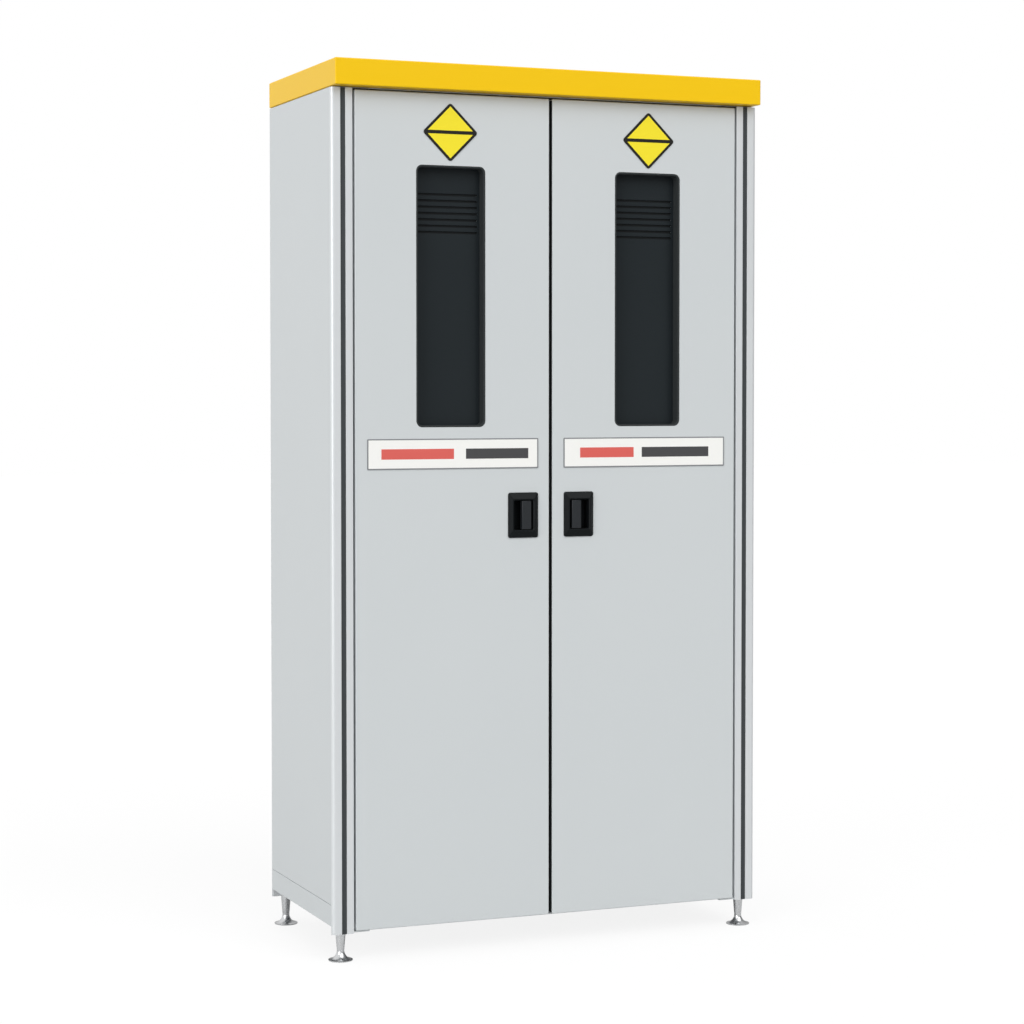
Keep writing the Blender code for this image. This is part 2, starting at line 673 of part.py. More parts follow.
def make_strikes():
    """Plates over and under the meeting edges, with a hole for each latch rod."""
    for level_name, bottom in (("upper", UPPER_PLATE_BOTTOM), ("lower", LOWER_PLATE_BOTTOM)):
        name = f"strike_{level_name}"
        plate = block((-STRIKE_HALF, STRIKE_FRONT, bottom),
                      (STRIKE_HALF, RAIL_REAR, bottom + PLATE_THICKNESS))
        strike = piece(name, plate, black_paint(name) if level_name == "upper" else zinc_steel(name))
        for side_name, side in SIDES.items():
            cut(strike, rod_slot(side, bottom - CUT_OVERRUN, bottom + PLATE_THICKNESS + CUT_OVERRUN),
                f"rod_hole_{side_name}")


def window_outline(side, grow):
    """The window's outline, made larger or smaller all round."""
    centre = (side * WINDOW_CENTRE, (WINDOW_TOP + WINDOW_BOTTOM) / 2)
    return rounded_rectangle(centre, WINDOW_WIDTH + 2 * grow, WINDOW_HEIGHT + 2 * grow,
                             WINDOW_CORNER + grow)


def handle_pan(side, grow, front, rear):
    """The part of the handle that reaches back through the door sheet."""
    margin = HANDLE_PAN_MARGIN - grow
    return side_block(side, HANDLE_EDGE + margin, HANDLE_EDGE + HANDLE_WIDTH - margin,
                      front, rear, HANDLE_BOTTOM + margin, HANDLE_TOP - margin)


def pin_hole(side, bottom, top):
    return rod_along_z((side * PIVOT_X, PIVOT_Y), PIN_RADIUS + PIN_CLEARANCE, bottom, top, PIN_SIDES)


def make_door_skin(side_name, side, carrier):
    """Front sheet folded back on all four edges, with its window, handle, pin and rod holes."""
    name = f"door_skin_{side_name}"
    sheet = side_block(side, DOOR_INNER, DOOR_OUTER, FRONT, DOOR_REAR, DOOR_BOTTOM, DOOR_TOP)
    skin = piece(name, sheet, cabinet_paint(name), carrier, carrier.location)
    hollow = side_block(side, DOOR_INNER + DOOR_SHEET, DOOR_OUTER - DOOR_SHEET, FRONT + DOOR_SHEET,
                        DOOR_REAR + CUT_OVERRUN, DOOR_BOTTOM + DOOR_SHEET, DOOR_TOP - DOOR_SHEET)
    cut(skin, hollow, "hollow")
    cut(skin, prism(window_outline(side, 0), "Y", FRONT - CUT_OVERRUN, FRONT + DOOR_SHEET + CUT_OVERRUN),
        "window")
    cut(skin, handle_pan(side, FIT_GAP, FRONT - CUT_OVERRUN, FRONT + DOOR_SHEET + CUT_OVERRUN), "handle")
    for label, low in (("lower", DOOR_BOTTOM), ("upper", DOOR_TOP - DOOR_SHEET)):
        bottom = low - CUT_OVERRUN
        top = low + DOOR_SHEET + CUT_OVERRUN
        cut(skin, pin_hole(side, bottom, top), f"pin_{label}")
        cut(skin, rod_slot(side, bottom, top), f"rod_{label}")


def make_door_liner(side_name, side, carrier):
    """Flat inner sheet with a cut-out over the window pane."""
    name = f"door_liner_{side_name}"
    edge = DOOR_SHEET + FIT_GAP
    sheet = side_block(side, DOOR_INNER + edge, DOOR_OUTER - edge, LINER_FRONT, DOOR_REAR,
                       DOOR_BOTTOM + edge, DOOR_TOP - edge)
    liner = piece(name, sheet, cabinet_paint(name), carrier, carrier.location)
    cut(liner, prism(window_outline(side, -PANE_LAND), "Y", LINER_FRONT - CUT_OVERRUN,
                     DOOR_REAR + CUT_OVERRUN), "window")


def make_window(side_name, side, carrier):
    """A deep rubber frame in the door sheet, with a vented pane behind it."""
    name = f"window_gasket_{side_name}"
    frame = prism(window_outline(side, -FIT_GAP), "Y", GASKET_FRONT, GASKET_REAR)
    gasket = piece(name, frame, black_rubber(name), carrier, carrier.location)
    cut(gasket, prism(window_outline(side, -GASKET_WALL), "Y", GASKET_FRONT - CUT_OVERRUN,
                      GASKET_REAR + CUT_OVERRUN), "opening")
    name = f"window_pane_{side_name}"
    sheet = prism(window_outline(side, PANE_MARGIN), "Y", PANE_FRONT, PANE_REAR)
    pane = piece(name, sheet, dark_acrylic(name), carrier, carrier.location)
    for number in range(VENT_COUNT):
        level = WINDOW_TOP - VENT_FIRST - number * VENT_PITCH
        vent = side_block(side, WINDOW_CENTRE - VENT_LENGTH / 2, WINDOW_CENTRE + VENT_LENGTH / 2,
                          PANE_FRONT - CUT_OVERRUN, PANE_REAR + CUT_OVERRUN,
                          level - VENT_HEIGHT / 2, level + VENT_HEIGHT / 2)
        cut(pane, vent, f"vent_{number + 1}")


def make_plates(side_name, side, carrier):
    """The diamond placard above the window and the long label plate below it."""
    rear = FRONT - FIT_GAP
    front = rear - PLACARD_THICKNESS
    reach = PLACARD_REACH
    middle = (side * PLACARD_CENTRE, PLACARD_CENTRE_HEIGHT)
    outline = [(middle[0] + reach, middle[1]), (middle[0], middle[1] + reach),
               (middle[0] - reach, middle[1]), (middle[0], middle[1] - reach)]
    name = f"placard_{side_name}"
    piece(name, prism(outline, "Y", front, rear), placard_yellow(name), carrier, carrier.location)
    name = f"label_plate_{side_name}"
    plate = side_block(side, DOOR_INNER + LABEL_SIDE_MARGIN, DOOR_OUTER - LABEL_SIDE_MARGIN, front, rear,
                       LABEL_BOTTOM, LABEL_TOP)
    piece(name, plate, label_white(name), carrier, carrier.location)


def mouth_slope(side):
    """A cutter that narrows from the handle's face down to its mouth."""
    shape = bmesh.new()
    bmesh.ops.create_cube(shape, size=1.0)
    front = FRONT - HANDLE_PROUD
    low_end = front + MOUTH_SLOPE_DEPTH
    rise = CUT_OVERRUN * MOUTH_SLOPE / MOUTH_SLOPE_DEPTH
    middle_x = side * (MOUTH_EDGE + MOUTH_WIDTH / 2)
    for vert in shape.verts:
        outer = vert.co.y < 0
        spread = MOUTH_SLOPE + rise if outer else 0
        across = math.copysign(MOUTH_WIDTH / 2 + spread, vert.co.x)
        up = math.copysign(MOUTH_HEIGHT / 2 + spread, vert.co.z)
        along = front - CUT_OVERRUN if outer else low_end
        vert.co = Vector((middle_x + across, along, HANDLE_CENTRE_HEIGHT + up))
    return shape


def slope_frame(flange, side):
    """Narrow the frame's face to a band round its mouth, which leaves a slope all round."""
    bmesh.ops.bisect_plane(flange, geom=flange.verts[:] + flange.edges[:] + flange.faces[:],
                           plane_co=(0, FRONT - HANDLE_RIM, 0), plane_no=(0, 1, 0))
    middle_x = side * (HANDLE_EDGE + HANDLE_WIDTH / 2)
    mouth_x = side * (MOUTH_EDGE + MOUTH_WIDTH / 2)
    across = (MOUTH_WIDTH + 2 * HANDLE_FACE_BAND) / HANDLE_WIDTH
    up = (MOUTH_HEIGHT + 2 * HANDLE_FACE_BAND) / HANDLE_HEIGHT
    for vert in flange.verts:
        if vert.co.y < FRONT - (HANDLE_PROUD + HANDLE_RIM) / 2:
            vert.co.x = mouth_x + (vert.co.x - middle_x) * across
            vert.co.z = HANDLE_CENTRE_HEIGHT + (vert.co.z - HANDLE_CENTRE_HEIGHT) * up


def axle(side, radius, reach):
    """The paddle's axle, running past both ends of the mouth."""
    half = MOUTH_HEIGHT / 2 + reach
    return rod_along_z((side * AXLE_X, AXLE_Y), radius, HANDLE_CENTRE_HEIGHT - half,
                       HANDLE_CENTRE_HEIGHT + half, PIN_SIDES)


def make_handle(side_name, side, carrier):
    """A sloping frame with a finger pocket, and the paddle that swings out of it."""
    name = f"handle_frame_{side_name}"
    middle = (side * (HANDLE_EDGE + HANDLE_WIDTH / 2), HANDLE_CENTRE_HEIGHT)
    outline = rounded_rectangle(middle, HANDLE_WIDTH, HANDLE_HEIGHT, HANDLE_CORNER)
    face = FRONT - HANDLE_PROUD
    flange = prism(outline, "Y", face, FRONT - FIT_GAP)
    slope_frame(flange, side)
    frame = piece(name, flange, black_plastic(name), carrier, carrier.location)
    add(frame, handle_pan(side, 0, FRONT - HANDLE_PROUD / 2, PAN_REAR), "pan")
    pocket = side_block(side, MOUTH_EDGE, MOUTH_EDGE + MOUTH_WIDTH, face - CUT_OVERRUN,
                        PAN_REAR - HANDLE_PAN_WALL, HANDLE_CENTRE_HEIGHT - MOUTH_HEIGHT / 2,
                        HANDLE_CENTRE_HEIGHT + MOUTH_HEIGHT / 2)
    cut(frame, pocket, "pocket")
    cut(frame, mouth_slope(side), "slope")
    cut(frame, axle(side, AXLE_RADIUS + AXLE_CLEARANCE, AXLE_STUB + AXLE_CLEARANCE), "axle_bores")
    name = f"paddle_{side_name}"
    half = MOUTH_HEIGHT / 2 - PADDLE_END_GAP
    grip = side_block(side, PADDLE_EDGE, PADDLE_EDGE + PADDLE_WIDTH, FRONT - PADDLE_PROUD,
                      FRONT - PADDLE_PROUD + PADDLE_THICKNESS, HANDLE_CENTRE_HEIGHT - half,
                      HANDLE_CENTRE_HEIGHT + half)
    soften(grip, PADDLE_EDGE_RADIUS, 2, on_plane_y(FRONT - PADDLE_PROUD))
    paddle = piece(name, grip, black_plastic(name), carrier,
                   (side * AXLE_X, AXLE_Y, HANDLE_CENTRE_HEIGHT))
    add(paddle, axle(side, AXLE_RADIUS, AXLE_STUB), "axle")


def make_latch(side_name, side, carrier):
    """A channel behind the handle, and a rod up and a rod down from it to the strikes."""
    name = f"latch_case_{side_name}"
    half = CASE_WIDTH / 2
    bottom = HANDLE_CENTRE_HEIGHT - CASE_HEIGHT / 2
    top = HANDLE_CENTRE_HEIGHT + CASE_HEIGHT / 2
    case = piece(name, side_block(side, ROD_X - half, ROD_X + half, CASE_FRONT, CASE_REAR, bottom, top),
                 zinc_steel(name), carrier, carrier.location)
    channel = side_block(side, ROD_X - half + CASE_SHEET, ROD_X + half - CASE_SHEET,
                         CASE_FRONT - CUT_OVERRUN, CASE_REAR - CASE_SHEET,
                         bottom - CUT_OVERRUN, top + CUT_OVERRUN)
    cut(case, channel, "channel")
    ends = {
        "upper": (HANDLE_CENTRE_HEIGHT + ROD_SPLIT, UPPER_PLATE_BOTTOM - ROD_TIP_GAP),
        "lower": (LOWER_PLATE_TOP + ROD_TIP_GAP, HANDLE_CENTRE_HEIGHT - ROD_SPLIT),
    }
    for level_name, (low, high) in ends.items():
        name = f"latch_rod_{level_name}_{side_name}"
        bar = side_block(side, ROD_X - ROD_WIDTH / 2, ROD_X + ROD_WIDTH / 2, ROD_FRONT, ROD_REAR, low, high)
        piece(name, bar, zinc_steel(name), carrier, (side * ROD_X, (ROD_FRONT + ROD_REAR) / 2, low))


def make_bushes(side_name, side, carrier):
    """Nylon blocks in the door's outer corners, bored for the pivot pins."""
    far = DOOR_OUTER - DOOR_SHEET - FIT_GAP
    edge = DOOR_SHEET + FIT_GAP
    levels = {"upper": DOOR_TOP - edge - BUSH_SIZE, "lower": DOOR_BOTTOM + edge}
    for level_name, bottom in levels.items():
        name = f"pivot_bush_{level_name}_{side_name}"
        bush = piece(name, side_block(side, far - BUSH_SIZE, far, FRONT + edge, LINER_FRONT - FIT_GAP,
                                      bottom, bottom + BUSH_SIZE),
                     white_nylon(name), carrier, carrier.location)
        cut(bush, pin_hole(side, bottom - CUT_OVERRUN, bottom + BUSH_SIZE + CUT_OVERRUN), "bore")


def make_doors():
    for side_name, side in SIDES.items():
        carrier = axis_point(f"door_axis_{side_name}", (side * PIVOT_X, PIVOT_Y, DOOR_BOTTOM))
        for make in (make_door_skin, make_door_liner, make_window, make_plates, make_handle,
                     make_latch, make_bushes):
            make(side_name, side, carrier)


clear_scene()
make_corners()
make_cap()
make_roof()
make_cross_rails()
make_sides()
make_back_and_floor()
make_brackets()
make_pivots()
make_strikes()
make_doors()
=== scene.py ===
"""A two-door gas cylinder cabinet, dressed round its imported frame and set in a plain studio.

Metres, +Z up, doors towards -Y. "side" is -1 on the left and +1 on the right, seen from the front.
"""
import json
import math

import bmesh
import bpy
from mathutils import Matrix, Vector


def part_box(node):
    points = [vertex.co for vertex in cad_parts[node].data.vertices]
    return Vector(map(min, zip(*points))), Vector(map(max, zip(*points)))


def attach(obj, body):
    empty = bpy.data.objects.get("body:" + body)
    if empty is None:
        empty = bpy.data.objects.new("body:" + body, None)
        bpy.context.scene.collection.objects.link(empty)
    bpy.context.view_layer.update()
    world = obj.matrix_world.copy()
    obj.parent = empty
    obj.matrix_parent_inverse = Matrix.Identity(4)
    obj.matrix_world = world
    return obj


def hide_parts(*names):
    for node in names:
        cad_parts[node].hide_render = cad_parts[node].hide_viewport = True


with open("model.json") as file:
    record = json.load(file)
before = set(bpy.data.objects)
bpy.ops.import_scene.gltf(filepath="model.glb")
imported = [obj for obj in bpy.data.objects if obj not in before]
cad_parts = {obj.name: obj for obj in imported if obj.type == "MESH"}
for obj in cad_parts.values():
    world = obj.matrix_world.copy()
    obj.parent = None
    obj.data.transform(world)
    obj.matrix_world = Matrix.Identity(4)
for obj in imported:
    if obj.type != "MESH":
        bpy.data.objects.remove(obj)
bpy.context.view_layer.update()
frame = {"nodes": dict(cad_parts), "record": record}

SIDES = {"left": -1, "right": 1}
ENDS = {"front": -1, "rear": 1}

# Corner posts
# Four uprights of extruded aluminium, with one well rounded outer corner, a slot down the outer
# face and a side set in for the side sheets. Sawn to length, satin anodised and bored for the feet.
POST_CORNER_RADIUS = 0.008
POST_EDGE_RADIUS = 0.0007
POST_SLOT_DEPTH = 0.009
FIT_GAP = 0.0003
BORE_RADIUS = 0.0063
BORE_DEPTH = 0.045
FOOT_INSET = 0.0265
FOOT_WALL = 0.0025
ANODISED = (0.725, 0.75, 0.765)
ANODISED_SHADE = (0.685, 0.71, 0.725)
DIE_LINE_SHARE = 0.6
MERGE_DISTANCE = 1e-6
MIX_COLOUR_INPUTS = (6, 7)
MIX_COLOUR_OUTPUT = 2

BODIES = frame["record"]["behaviour"]["bodies"]
BODY_OF = {node: body for body, nodes in BODIES.items() for node in nodes}


class Shade:
    """One output of a shader node. Arithmetic on it adds Math nodes."""

    def __init__(self, tree, socket=None):
        self.tree = tree
        self.socket = socket

    def node(self, kind, inputs, output=0, **settings):
        """Add any node: its settings first, then the values or links of its sockets."""
        made = self.tree.nodes.new(f"ShaderNode{kind}")
        for name, setting in settings.items():
            setattr(made, name, setting)
        for key, value in inputs.items():
            if isinstance(value, Shade):
                self.tree.links.new(value.socket, made.inputs[key])
            else:
                made.inputs[key].default_value = value
        return Shade(self.tree, made.outputs[output])

    def other_output(self, output):
        """Another output of the same node."""
        return Shade(self.tree, self.socket.node.outputs[output])

    def maths(self, operation, *values):
        return self.node("Math", dict(enumerate(values)), operation=operation)

    def into(self, socket):
        self.tree.links.new(self.socket, socket)

    def __add__(self, other):
        return self.maths("ADD", self, other)

    __radd__ = __add__

    def __mul__(self, other):
        return self.maths("MULTIPLY", self, other)

    __rmul__ = __mul__

    def __sub__(self, other):
        return self.maths("SUBTRACT", self, other)

    def __rsub__(self, other):
        return self.maths("SUBTRACT", other, self)

    def __lt__(self, other):
        return self.maths("LESS_THAN", self, other)

    def __gt__(self, other):
        return self.maths("GREATER_THAN", self, other)

    def __abs__(self):
        return self.maths("ABSOLUTE", self)


def surface(name, colour, roughness, metallic=0.0, specular=0.5):
    """A material with its constants on its shader, and the coordinates of the piece that wears it."""
    made = bpy.data.materials.new(name)
    made.use_nodes = True
    shader = made.node_tree.nodes["Principled BSDF"]
    shader.inputs["Base Color"].default_value = (*colour, 1.0)
    shader.inputs["Roughness"].default_value = roughness
    shader.inputs["Metallic"].default_value = metallic
    shader.inputs["Specular IOR Level"].default_value = specular
    place = Shade(made.node_tree).node("TexCoord", {}, output="Object")
    return made, shader, place


def grain(place, scale, detail=2.0, stretch=(1.0, 1.0, 1.0)):
    """Noise over a piece, drawn out along an axis where its stretch is small."""
    drawn_out = place.node("Mapping", {"Vector": place, "Scale": stretch})
    return place.node("TexNoise", {"Vector": drawn_out, "Scale": scale, "Detail": detail})


def blend_colours(mask, first, second):
    """The first colour where the mask is 0, the second where it is 1."""
    inputs = {0: mask}
    for socket, colour in zip(MIX_COLOUR_INPUTS, (first, second)):
        inputs[socket] = (*colour, 1.0) if isinstance(colour, tuple) else colour
    return mask.node("Mix", inputs, output=MIX_COLOUR_OUTPUT, data_type="RGBA")


def vary_roughness(shader, pattern, low, spread):
    """Roughness that follows a pattern up from its lowest value."""
    (low + pattern * spread).into(shader.inputs["Roughness"])


def emboss(shader, pattern, strength, depth):
    """Fine relief that follows a pattern."""
    bump = pattern.node("Bump", {"Strength": strength, "Distance": depth, "Height": pattern})
    bump.into(shader.inputs["Normal"])


def anodised_aluminium():
    """Satin anodised extrusion: fine die lines run along the post."""
    made, shader, place = surface("anodised_aluminium", ANODISED, roughness=0.34, metallic=0.25)
    lines = grain(place, scale=1400.0, detail=3.0, stretch=(1.0, 1.0, 0.003))
    cloud = grain(place, scale=6.0)
    tone = lines * DIE_LINE_SHARE + cloud * (1 - DIE_LINE_SHARE)
    blend_colours(tone, ANODISED_SHADE, ANODISED).into(shader.inputs["Base Color"])
    vary_roughness(shader, lines, low=0.28, spread=0.12)
    emboss(shader, lines, strength=0.12, depth=0.00005)
    return made


def install(shape, name, node, material, sharp_deg=50.0, stands_for=True):
    """Close the shape up, make it an object that rides with the node's body, and hide the node where
    it stands for it.
    """
    bmesh.ops.remove_doubles(shape, verts=shape.verts, dist=MERGE_DISTANCE)
    bmesh.ops.recalc_face_normals(shape, faces=shape.faces)
    mesh = bpy.data.meshes.new(name)
    shape.to_mesh(mesh)
    shape.free()
    mesh.shade_smooth()
    mesh.set_sharp_from_angle(angle=math.radians(sharp_deg))
    mesh.materials.append(material)
    made = bpy.data.objects.new(name, mesh)
    bpy.context.scene.collection.objects.link(made)
    weighted = made.modifiers.new("weighted_normals", "WEIGHTED_NORMAL")
    weighted.keep_sharp = True
    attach(made, BODY_OF[node])
    if stands_for:
        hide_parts(node)
    return made


def round_corners(shape, corners, radius, segments):
    """Round the corners of a flat outline."""
    bmesh.ops.bevel(shape, geom=corners, offset=radius, segments=segments, profile=0.5,
                    affect="VERTICES", material=-1)


def open_outline(shape, face):
    """Take a face away and give back the edges that bounded it."""
    edges = list(face.edges)
    bmesh.ops.delete(shape, geom=[face], context="FACES_ONLY")
    return edges


def extrude(shape, geometry, push):
    """Extrude faces or edges and move what grew."""
    if isinstance(geometry[0], bmesh.types.BMFace):
        grown = bmesh.ops.extrude_face_region(shape, geom=geometry)["geom"]
    else:
        grown = bmesh.ops.extrude_edge_only(shape, edges=geometry)["geom"]
    moved = [item for item in grown if isinstance(item, bmesh.types.BMVert)]
    bmesh.ops.translate(shape, vec=push, verts=moved)
    return grown


def all_at(shape, axis, level, *others):
    """The edges that lie on a plane and pass the other tests given, one for each end."""
    return [edge for edge in shape.edges
            if all(abs(vert.co[axis] - level) < MERGE_DISTANCE for vert in edge.verts)
            and all(test(vert.co) for vert in edge.verts for test in others)]


def make_post(corner, side, end, material):
    side_name = "left" if side < 0 else "right"
    low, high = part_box(f"post_{corner}")
    strip_low, strip_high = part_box(f"slot_strip_{corner}")
    sheet_low, sheet_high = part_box(f"side_panel_{side_name}")
    size = high[0] - low[0]
    height = high[2] - low[2]
    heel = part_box(f"base_rail_{side_name}")[0][2] - low[2]
    outer_x = high[0] if side > 0 else low[0]
    outer_y = high[1] if end > 0 else low[1]
    strip_x = strip_high[0] if side > 0 else strip_low[0]
    slot_near = abs(outer_x - strip_x) - FIT_GAP
    slot_far = slot_near + strip_high[0] - strip_low[0] + 2 * FIT_GAP
    set_in = sheet_high[0] - sheet_low[0] + FIT_GAP
    step = POST_CORNER_RADIUS + FIT_GAP / 2
    outline = [(0, 0), (slot_near, 0), (slot_near, POST_SLOT_DEPTH), (slot_far, POST_SLOT_DEPTH),
               (slot_far, 0), (size, 0), (size, size), (set_in, size), (set_in, step), (0, step)]
    shape = bmesh.new()
    corners = [shape.verts.new((inward, deep, 0)) for inward, deep in outline]
    shape.faces.new(corners)
    round_corners(shape, corners[:1], POST_CORNER_RADIUS, segments=10)
    round_corners(shape, corners[1:7], POST_EDGE_RADIUS, segments=2)
    edges = open_outline(shape, next(iter(shape.faces)))
    extrude(shape, edges, (0, 0, height))
    foot_wall = POST_SLOT_DEPTH + FOOT_WALL
    for place, normal in (((0, 0, heel), (0, 0, 1)), ((0, foot_wall, 0), (0, 1, 0))):
        bmesh.ops.bisect_plane(shape, geom=shape.verts[:] + shape.edges[:] + shape.faces[:],
                               plane_co=place, plane_no=normal)
    heel_faces = [face for face in shape.faces
                  if face.calc_center_median().z < heel and face.calc_center_median().y > foot_wall]
    bmesh.ops.delete(shape, geom=heel_faces, context="FACES")
    for level in (heel, 0):
        ends = [vert for vert in shape.verts if abs(vert.co.z - level) < MERGE_DISTANCE
                and abs(vert.co.y - foot_wall) < MERGE_DISTANCE]
        shape.edges.new(ends)
    bore = bmesh.ops.create_circle(shape, segments=32, radius=BORE_RADIUS,
                                   matrix=Matrix.Translation((FOOT_INSET, FOOT_INSET, heel)))
    rim = list({edge for vert in bore["verts"] for edge in vert.link_edges})
    seat = all_at(shape, 2, heel, lambda place: place.y > foot_wall - MERGE_DISTANCE)
    wall_back = all_at(shape, 1, foot_wall, lambda place: place.z < heel + MERGE_DISTANCE)
    for flat in (all_at(shape, 2, height), seat, wall_back, all_at(shape, 2, 0)):
        bmesh.ops.triangle_fill(shape, edges=flat, use_beauty=True, use_dissolve=True)
    bored = extrude(shape, rim, (0, 0, BORE_DEPTH))
    bore_end = [item for item in bored if isinstance(item, bmesh.types.BMEdge)]
    bmesh.ops.edgeloop_fill(shape, edges=bore_end)
    placing = Matrix(((-side, 0, 0, outer_x),
                      (0, -end, 0, outer_y),
                      (0, 0, 1, low[2]),
                      (0, 0, 0, 1)))
    bmesh.ops.transform(shape, matrix=placing, verts=shape.verts)
    install(shape, f"extrusion_{corner}", f"post_{corner}", material)


aluminium = anodised_aluminium()
for side_name, side in SIDES.items():
    for end_name, end in ENDS.items():
        make_post(f"{end_name}_{side_name}", side, end, aluminium)

# Slot strips
# A strip of black plastic is pressed into each post's slot from the top. It is extruded with a
# shallow channel down its face, and lies a little below the post's own face.
STRIP_BLACK = (0.040, 0.046, 0.049)
STRIP_LIP = 0.0022
STRIP_CHANNEL = 0.0012
STRIP_EDGE = 0.0005
ALIGNED = 0.999


def extruded_plastic():
    made, shader, place = surface("extruded_plastic", STRIP_BLACK, roughness=0.5, specular=0.35)
    lines = grain(place, scale=1200.0, stretch=(1.0, 1.0, 0.004))
    vary_roughness(shader, lines, low=0.42, spread=0.2)
    emboss(shader, lines, strength=0.2, depth=0.00005)
    return made


def block_between(low, high):
    """A box from corner to corner, as the start of a shape."""
    shape = bmesh.new()
    bmesh.ops.create_cube(shape, size=1.0)
    low = Vector(low)
    high = Vector(high)
    bmesh.ops.scale(shape, vec=high - low, verts=shape.verts)
    bmesh.ops.translate(shape, vec=(low + high) / 2, verts=shape.verts)
    return shape


def soften(shape, edges, width, segments=2):
    bmesh.ops.bevel(shape, geom=edges, offset=width, segments=segments, profile=0.5,
                    affect="EDGES", material=-1)


def edges_along(shape, axis):
    """The edges that run along one axis."""
    found = []
    for edge in shape.edges:
        run = edge.verts[1].co - edge.verts[0].co
        if abs(run[axis]) > ALIGNED * run.length:
            found.append(edge)
    return found


def faces_towards(shape, axis, sign):
    """The faces that look along one axis, the furthest out only."""
    facing = [face for face in shape.faces if face.normal[axis] * sign > ALIGNED]
    reach = max(face.calc_center_median()[axis] * sign for face in facing)
    return [face for face in facing
            if face.calc_center_median()[axis] * sign > reach - MERGE_DISTANCE]


plastic_strip = extruded_plastic()
for side_name in SIDES:
    for end_name, end in ENDS.items():
        corner = f"{end_name}_{side_name}"
        strip = block_between(*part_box(f"slot_strip_{corner}"))
        strip.normal_update()
        face = faces_towards(strip, 1, end)
        bmesh.ops.inset_region(strip, faces=face, thickness=STRIP_LIP, depth=0)
        channel = [vert for item in face for vert in item.verts]
        bmesh.ops.translate(strip, vec=(0, -end * STRIP_CHANNEL, 0), verts=channel)
        soften(strip, edges_along(strip, 2), STRIP_EDGE)
        install(strip, f"strip_{corner}", f"slot_strip_{corner}", plastic_strip)

# Levelling feet
# Each foot is turned from steel and chrome plated: a round disc that sweeps up into a tapered
# stem, on a threaded shank that screws into the bore of the post.
CHROME = (0.70, 0.71, 0.72)
DISC_EDGE = 0.0022
DISC_ROUND = 0.0009
NECK_RADIUS = 0.0078
NECK_HEIGHT = 0.0215
STEM_RADIUS = 0.0122
STEM_ROUND = 0.0015
SHANK_RADIUS = 0.0058
FLARE_STEPS = 14
FOOT_STEPS = 64


def chrome_plate():
    """Bright plating with the faint smears and dust of handling."""
    made, shader, place = surface("chrome_plate", CHROME, roughness=0.26, metallic=1.0)
    vary_roughness(shader, grain(place, scale=90.0, detail=4.0), low=0.22, spread=0.10)
    return made


def make_foot(corner, material):
    low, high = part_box(f"foot_{corner}")
    centre = (Vector(low) + Vector(high)) / 2
    disc = (high[0] - low[0]) / 2
    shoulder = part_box("base_rail_left")[0][2] - FIT_GAP
    shape = bmesh.new()
    outline = [(0, 0), (disc, 0), (disc, DISC_EDGE), (NECK_RADIUS, DISC_EDGE + DISC_ROUND),
               (NECK_RADIUS, NECK_HEIGHT), (STEM_RADIUS, shoulder), (SHANK_RADIUS, shoulder),
               (SHANK_RADIUS, high[2]), (0, high[2])]
    corners = [shape.verts.new((radius, 0, height)) for radius, height in outline]
    shape.faces.new(corners)
    round_corners(shape, [corners[3]], NECK_HEIGHT - DISC_EDGE - DISC_ROUND, FLARE_STEPS)
    round_corners(shape, [corners[1], corners[2]], DISC_ROUND, segments=3)
    round_corners(shape, [corners[5]], STEM_ROUND, segments=3)
    open_outline(shape, next(iter(shape.faces)))
    on_axis = [edge for edge in shape.edges if all(vert.co.x < MERGE_DISTANCE for vert in edge.verts)]
    bmesh.ops.delete(shape, geom=on_axis, context="EDGES")
    bmesh.ops.spin(shape, geom=shape.verts[:] + shape.edges[:], cent=(0, 0, 0), axis=(0, 0, 1),
                   angle=math.tau, steps=FOOT_STEPS, use_merge=True)
    bmesh.ops.translate(shape, vec=(centre.x, centre.y, 0), verts=shape.verts)
    install(shape, f"levelling_foot_{corner}_turning", f"foot_{corner}", material, sharp_deg=40.0)


chrome = chrome_plate()
for side_name in SIDES:
    for end_name in ENDS:
        make_foot(f"{end_name}_{side_name}", chrome)

# Rails and sheet panels
# Rectangular steel tube joins the posts, and sheet steel closes the back, the roof and the sides,
# where it laps the posts. All of it is powder coated light grey, and ripples finely as it sets.
PAINT_GREY = (0.630, 0.662, 0.672)
PAINT_GREY_SHADE = (0.612, 0.646, 0.658)
TUBE_RADIUS = 0.003
TUBE_WALL = 0.0015
SHEET_EDGE = 0.0005


def powder_coat(name, colour, shade, roughness=0.38, specular=0.5):
    """Stoved powder paint: a fine ripple, a faint cloudiness, and roughness that wanders a little."""
    made, shader, place = surface(name, colour, roughness, specular=specular)
    cloud = grain(place, scale=3.0, detail=3.0)
    blend_colours(cloud, shade, colour).into(shader.inputs["Base Color"])
    ripple = grain(place, scale=420.0)
    vary_roughness(shader, ripple, low=roughness - 0.05, spread=0.1)
    emboss(shader, ripple, strength=0.10, depth=0.0002)
    return made


grey_paint = powder_coat("grey_powder_coat", PAINT_GREY, PAINT_GREY_SHADE)


def make_tube(node, name, axis, material):
    """A rectangular tube, open at both ends."""
    shape = block_between(*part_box(node))
    soften(shape, edges_along(shape, axis), TUBE_RADIUS, segments=4)
    shape.normal_update()
    ends = faces_towards(shape, axis, 1) + faces_towards(shape, axis, -1)
    bmesh.ops.delete(shape, geom=ends, context="FACES_ONLY")
    bmesh.ops.recalc_face_normals(shape, faces=shape.faces)
    bmesh.ops.solidify(shape, geom=shape.faces[:], thickness=TUBE_WALL)
    install(shape, name, node, material)


def make_sheet(node, name, material):
    """A flat sheet with its cut edges just broken."""
    shape = block_between(*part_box(node))
    soften(shape, shape.edges[:], SHEET_EDGE)
    install(shape, name, node, material)


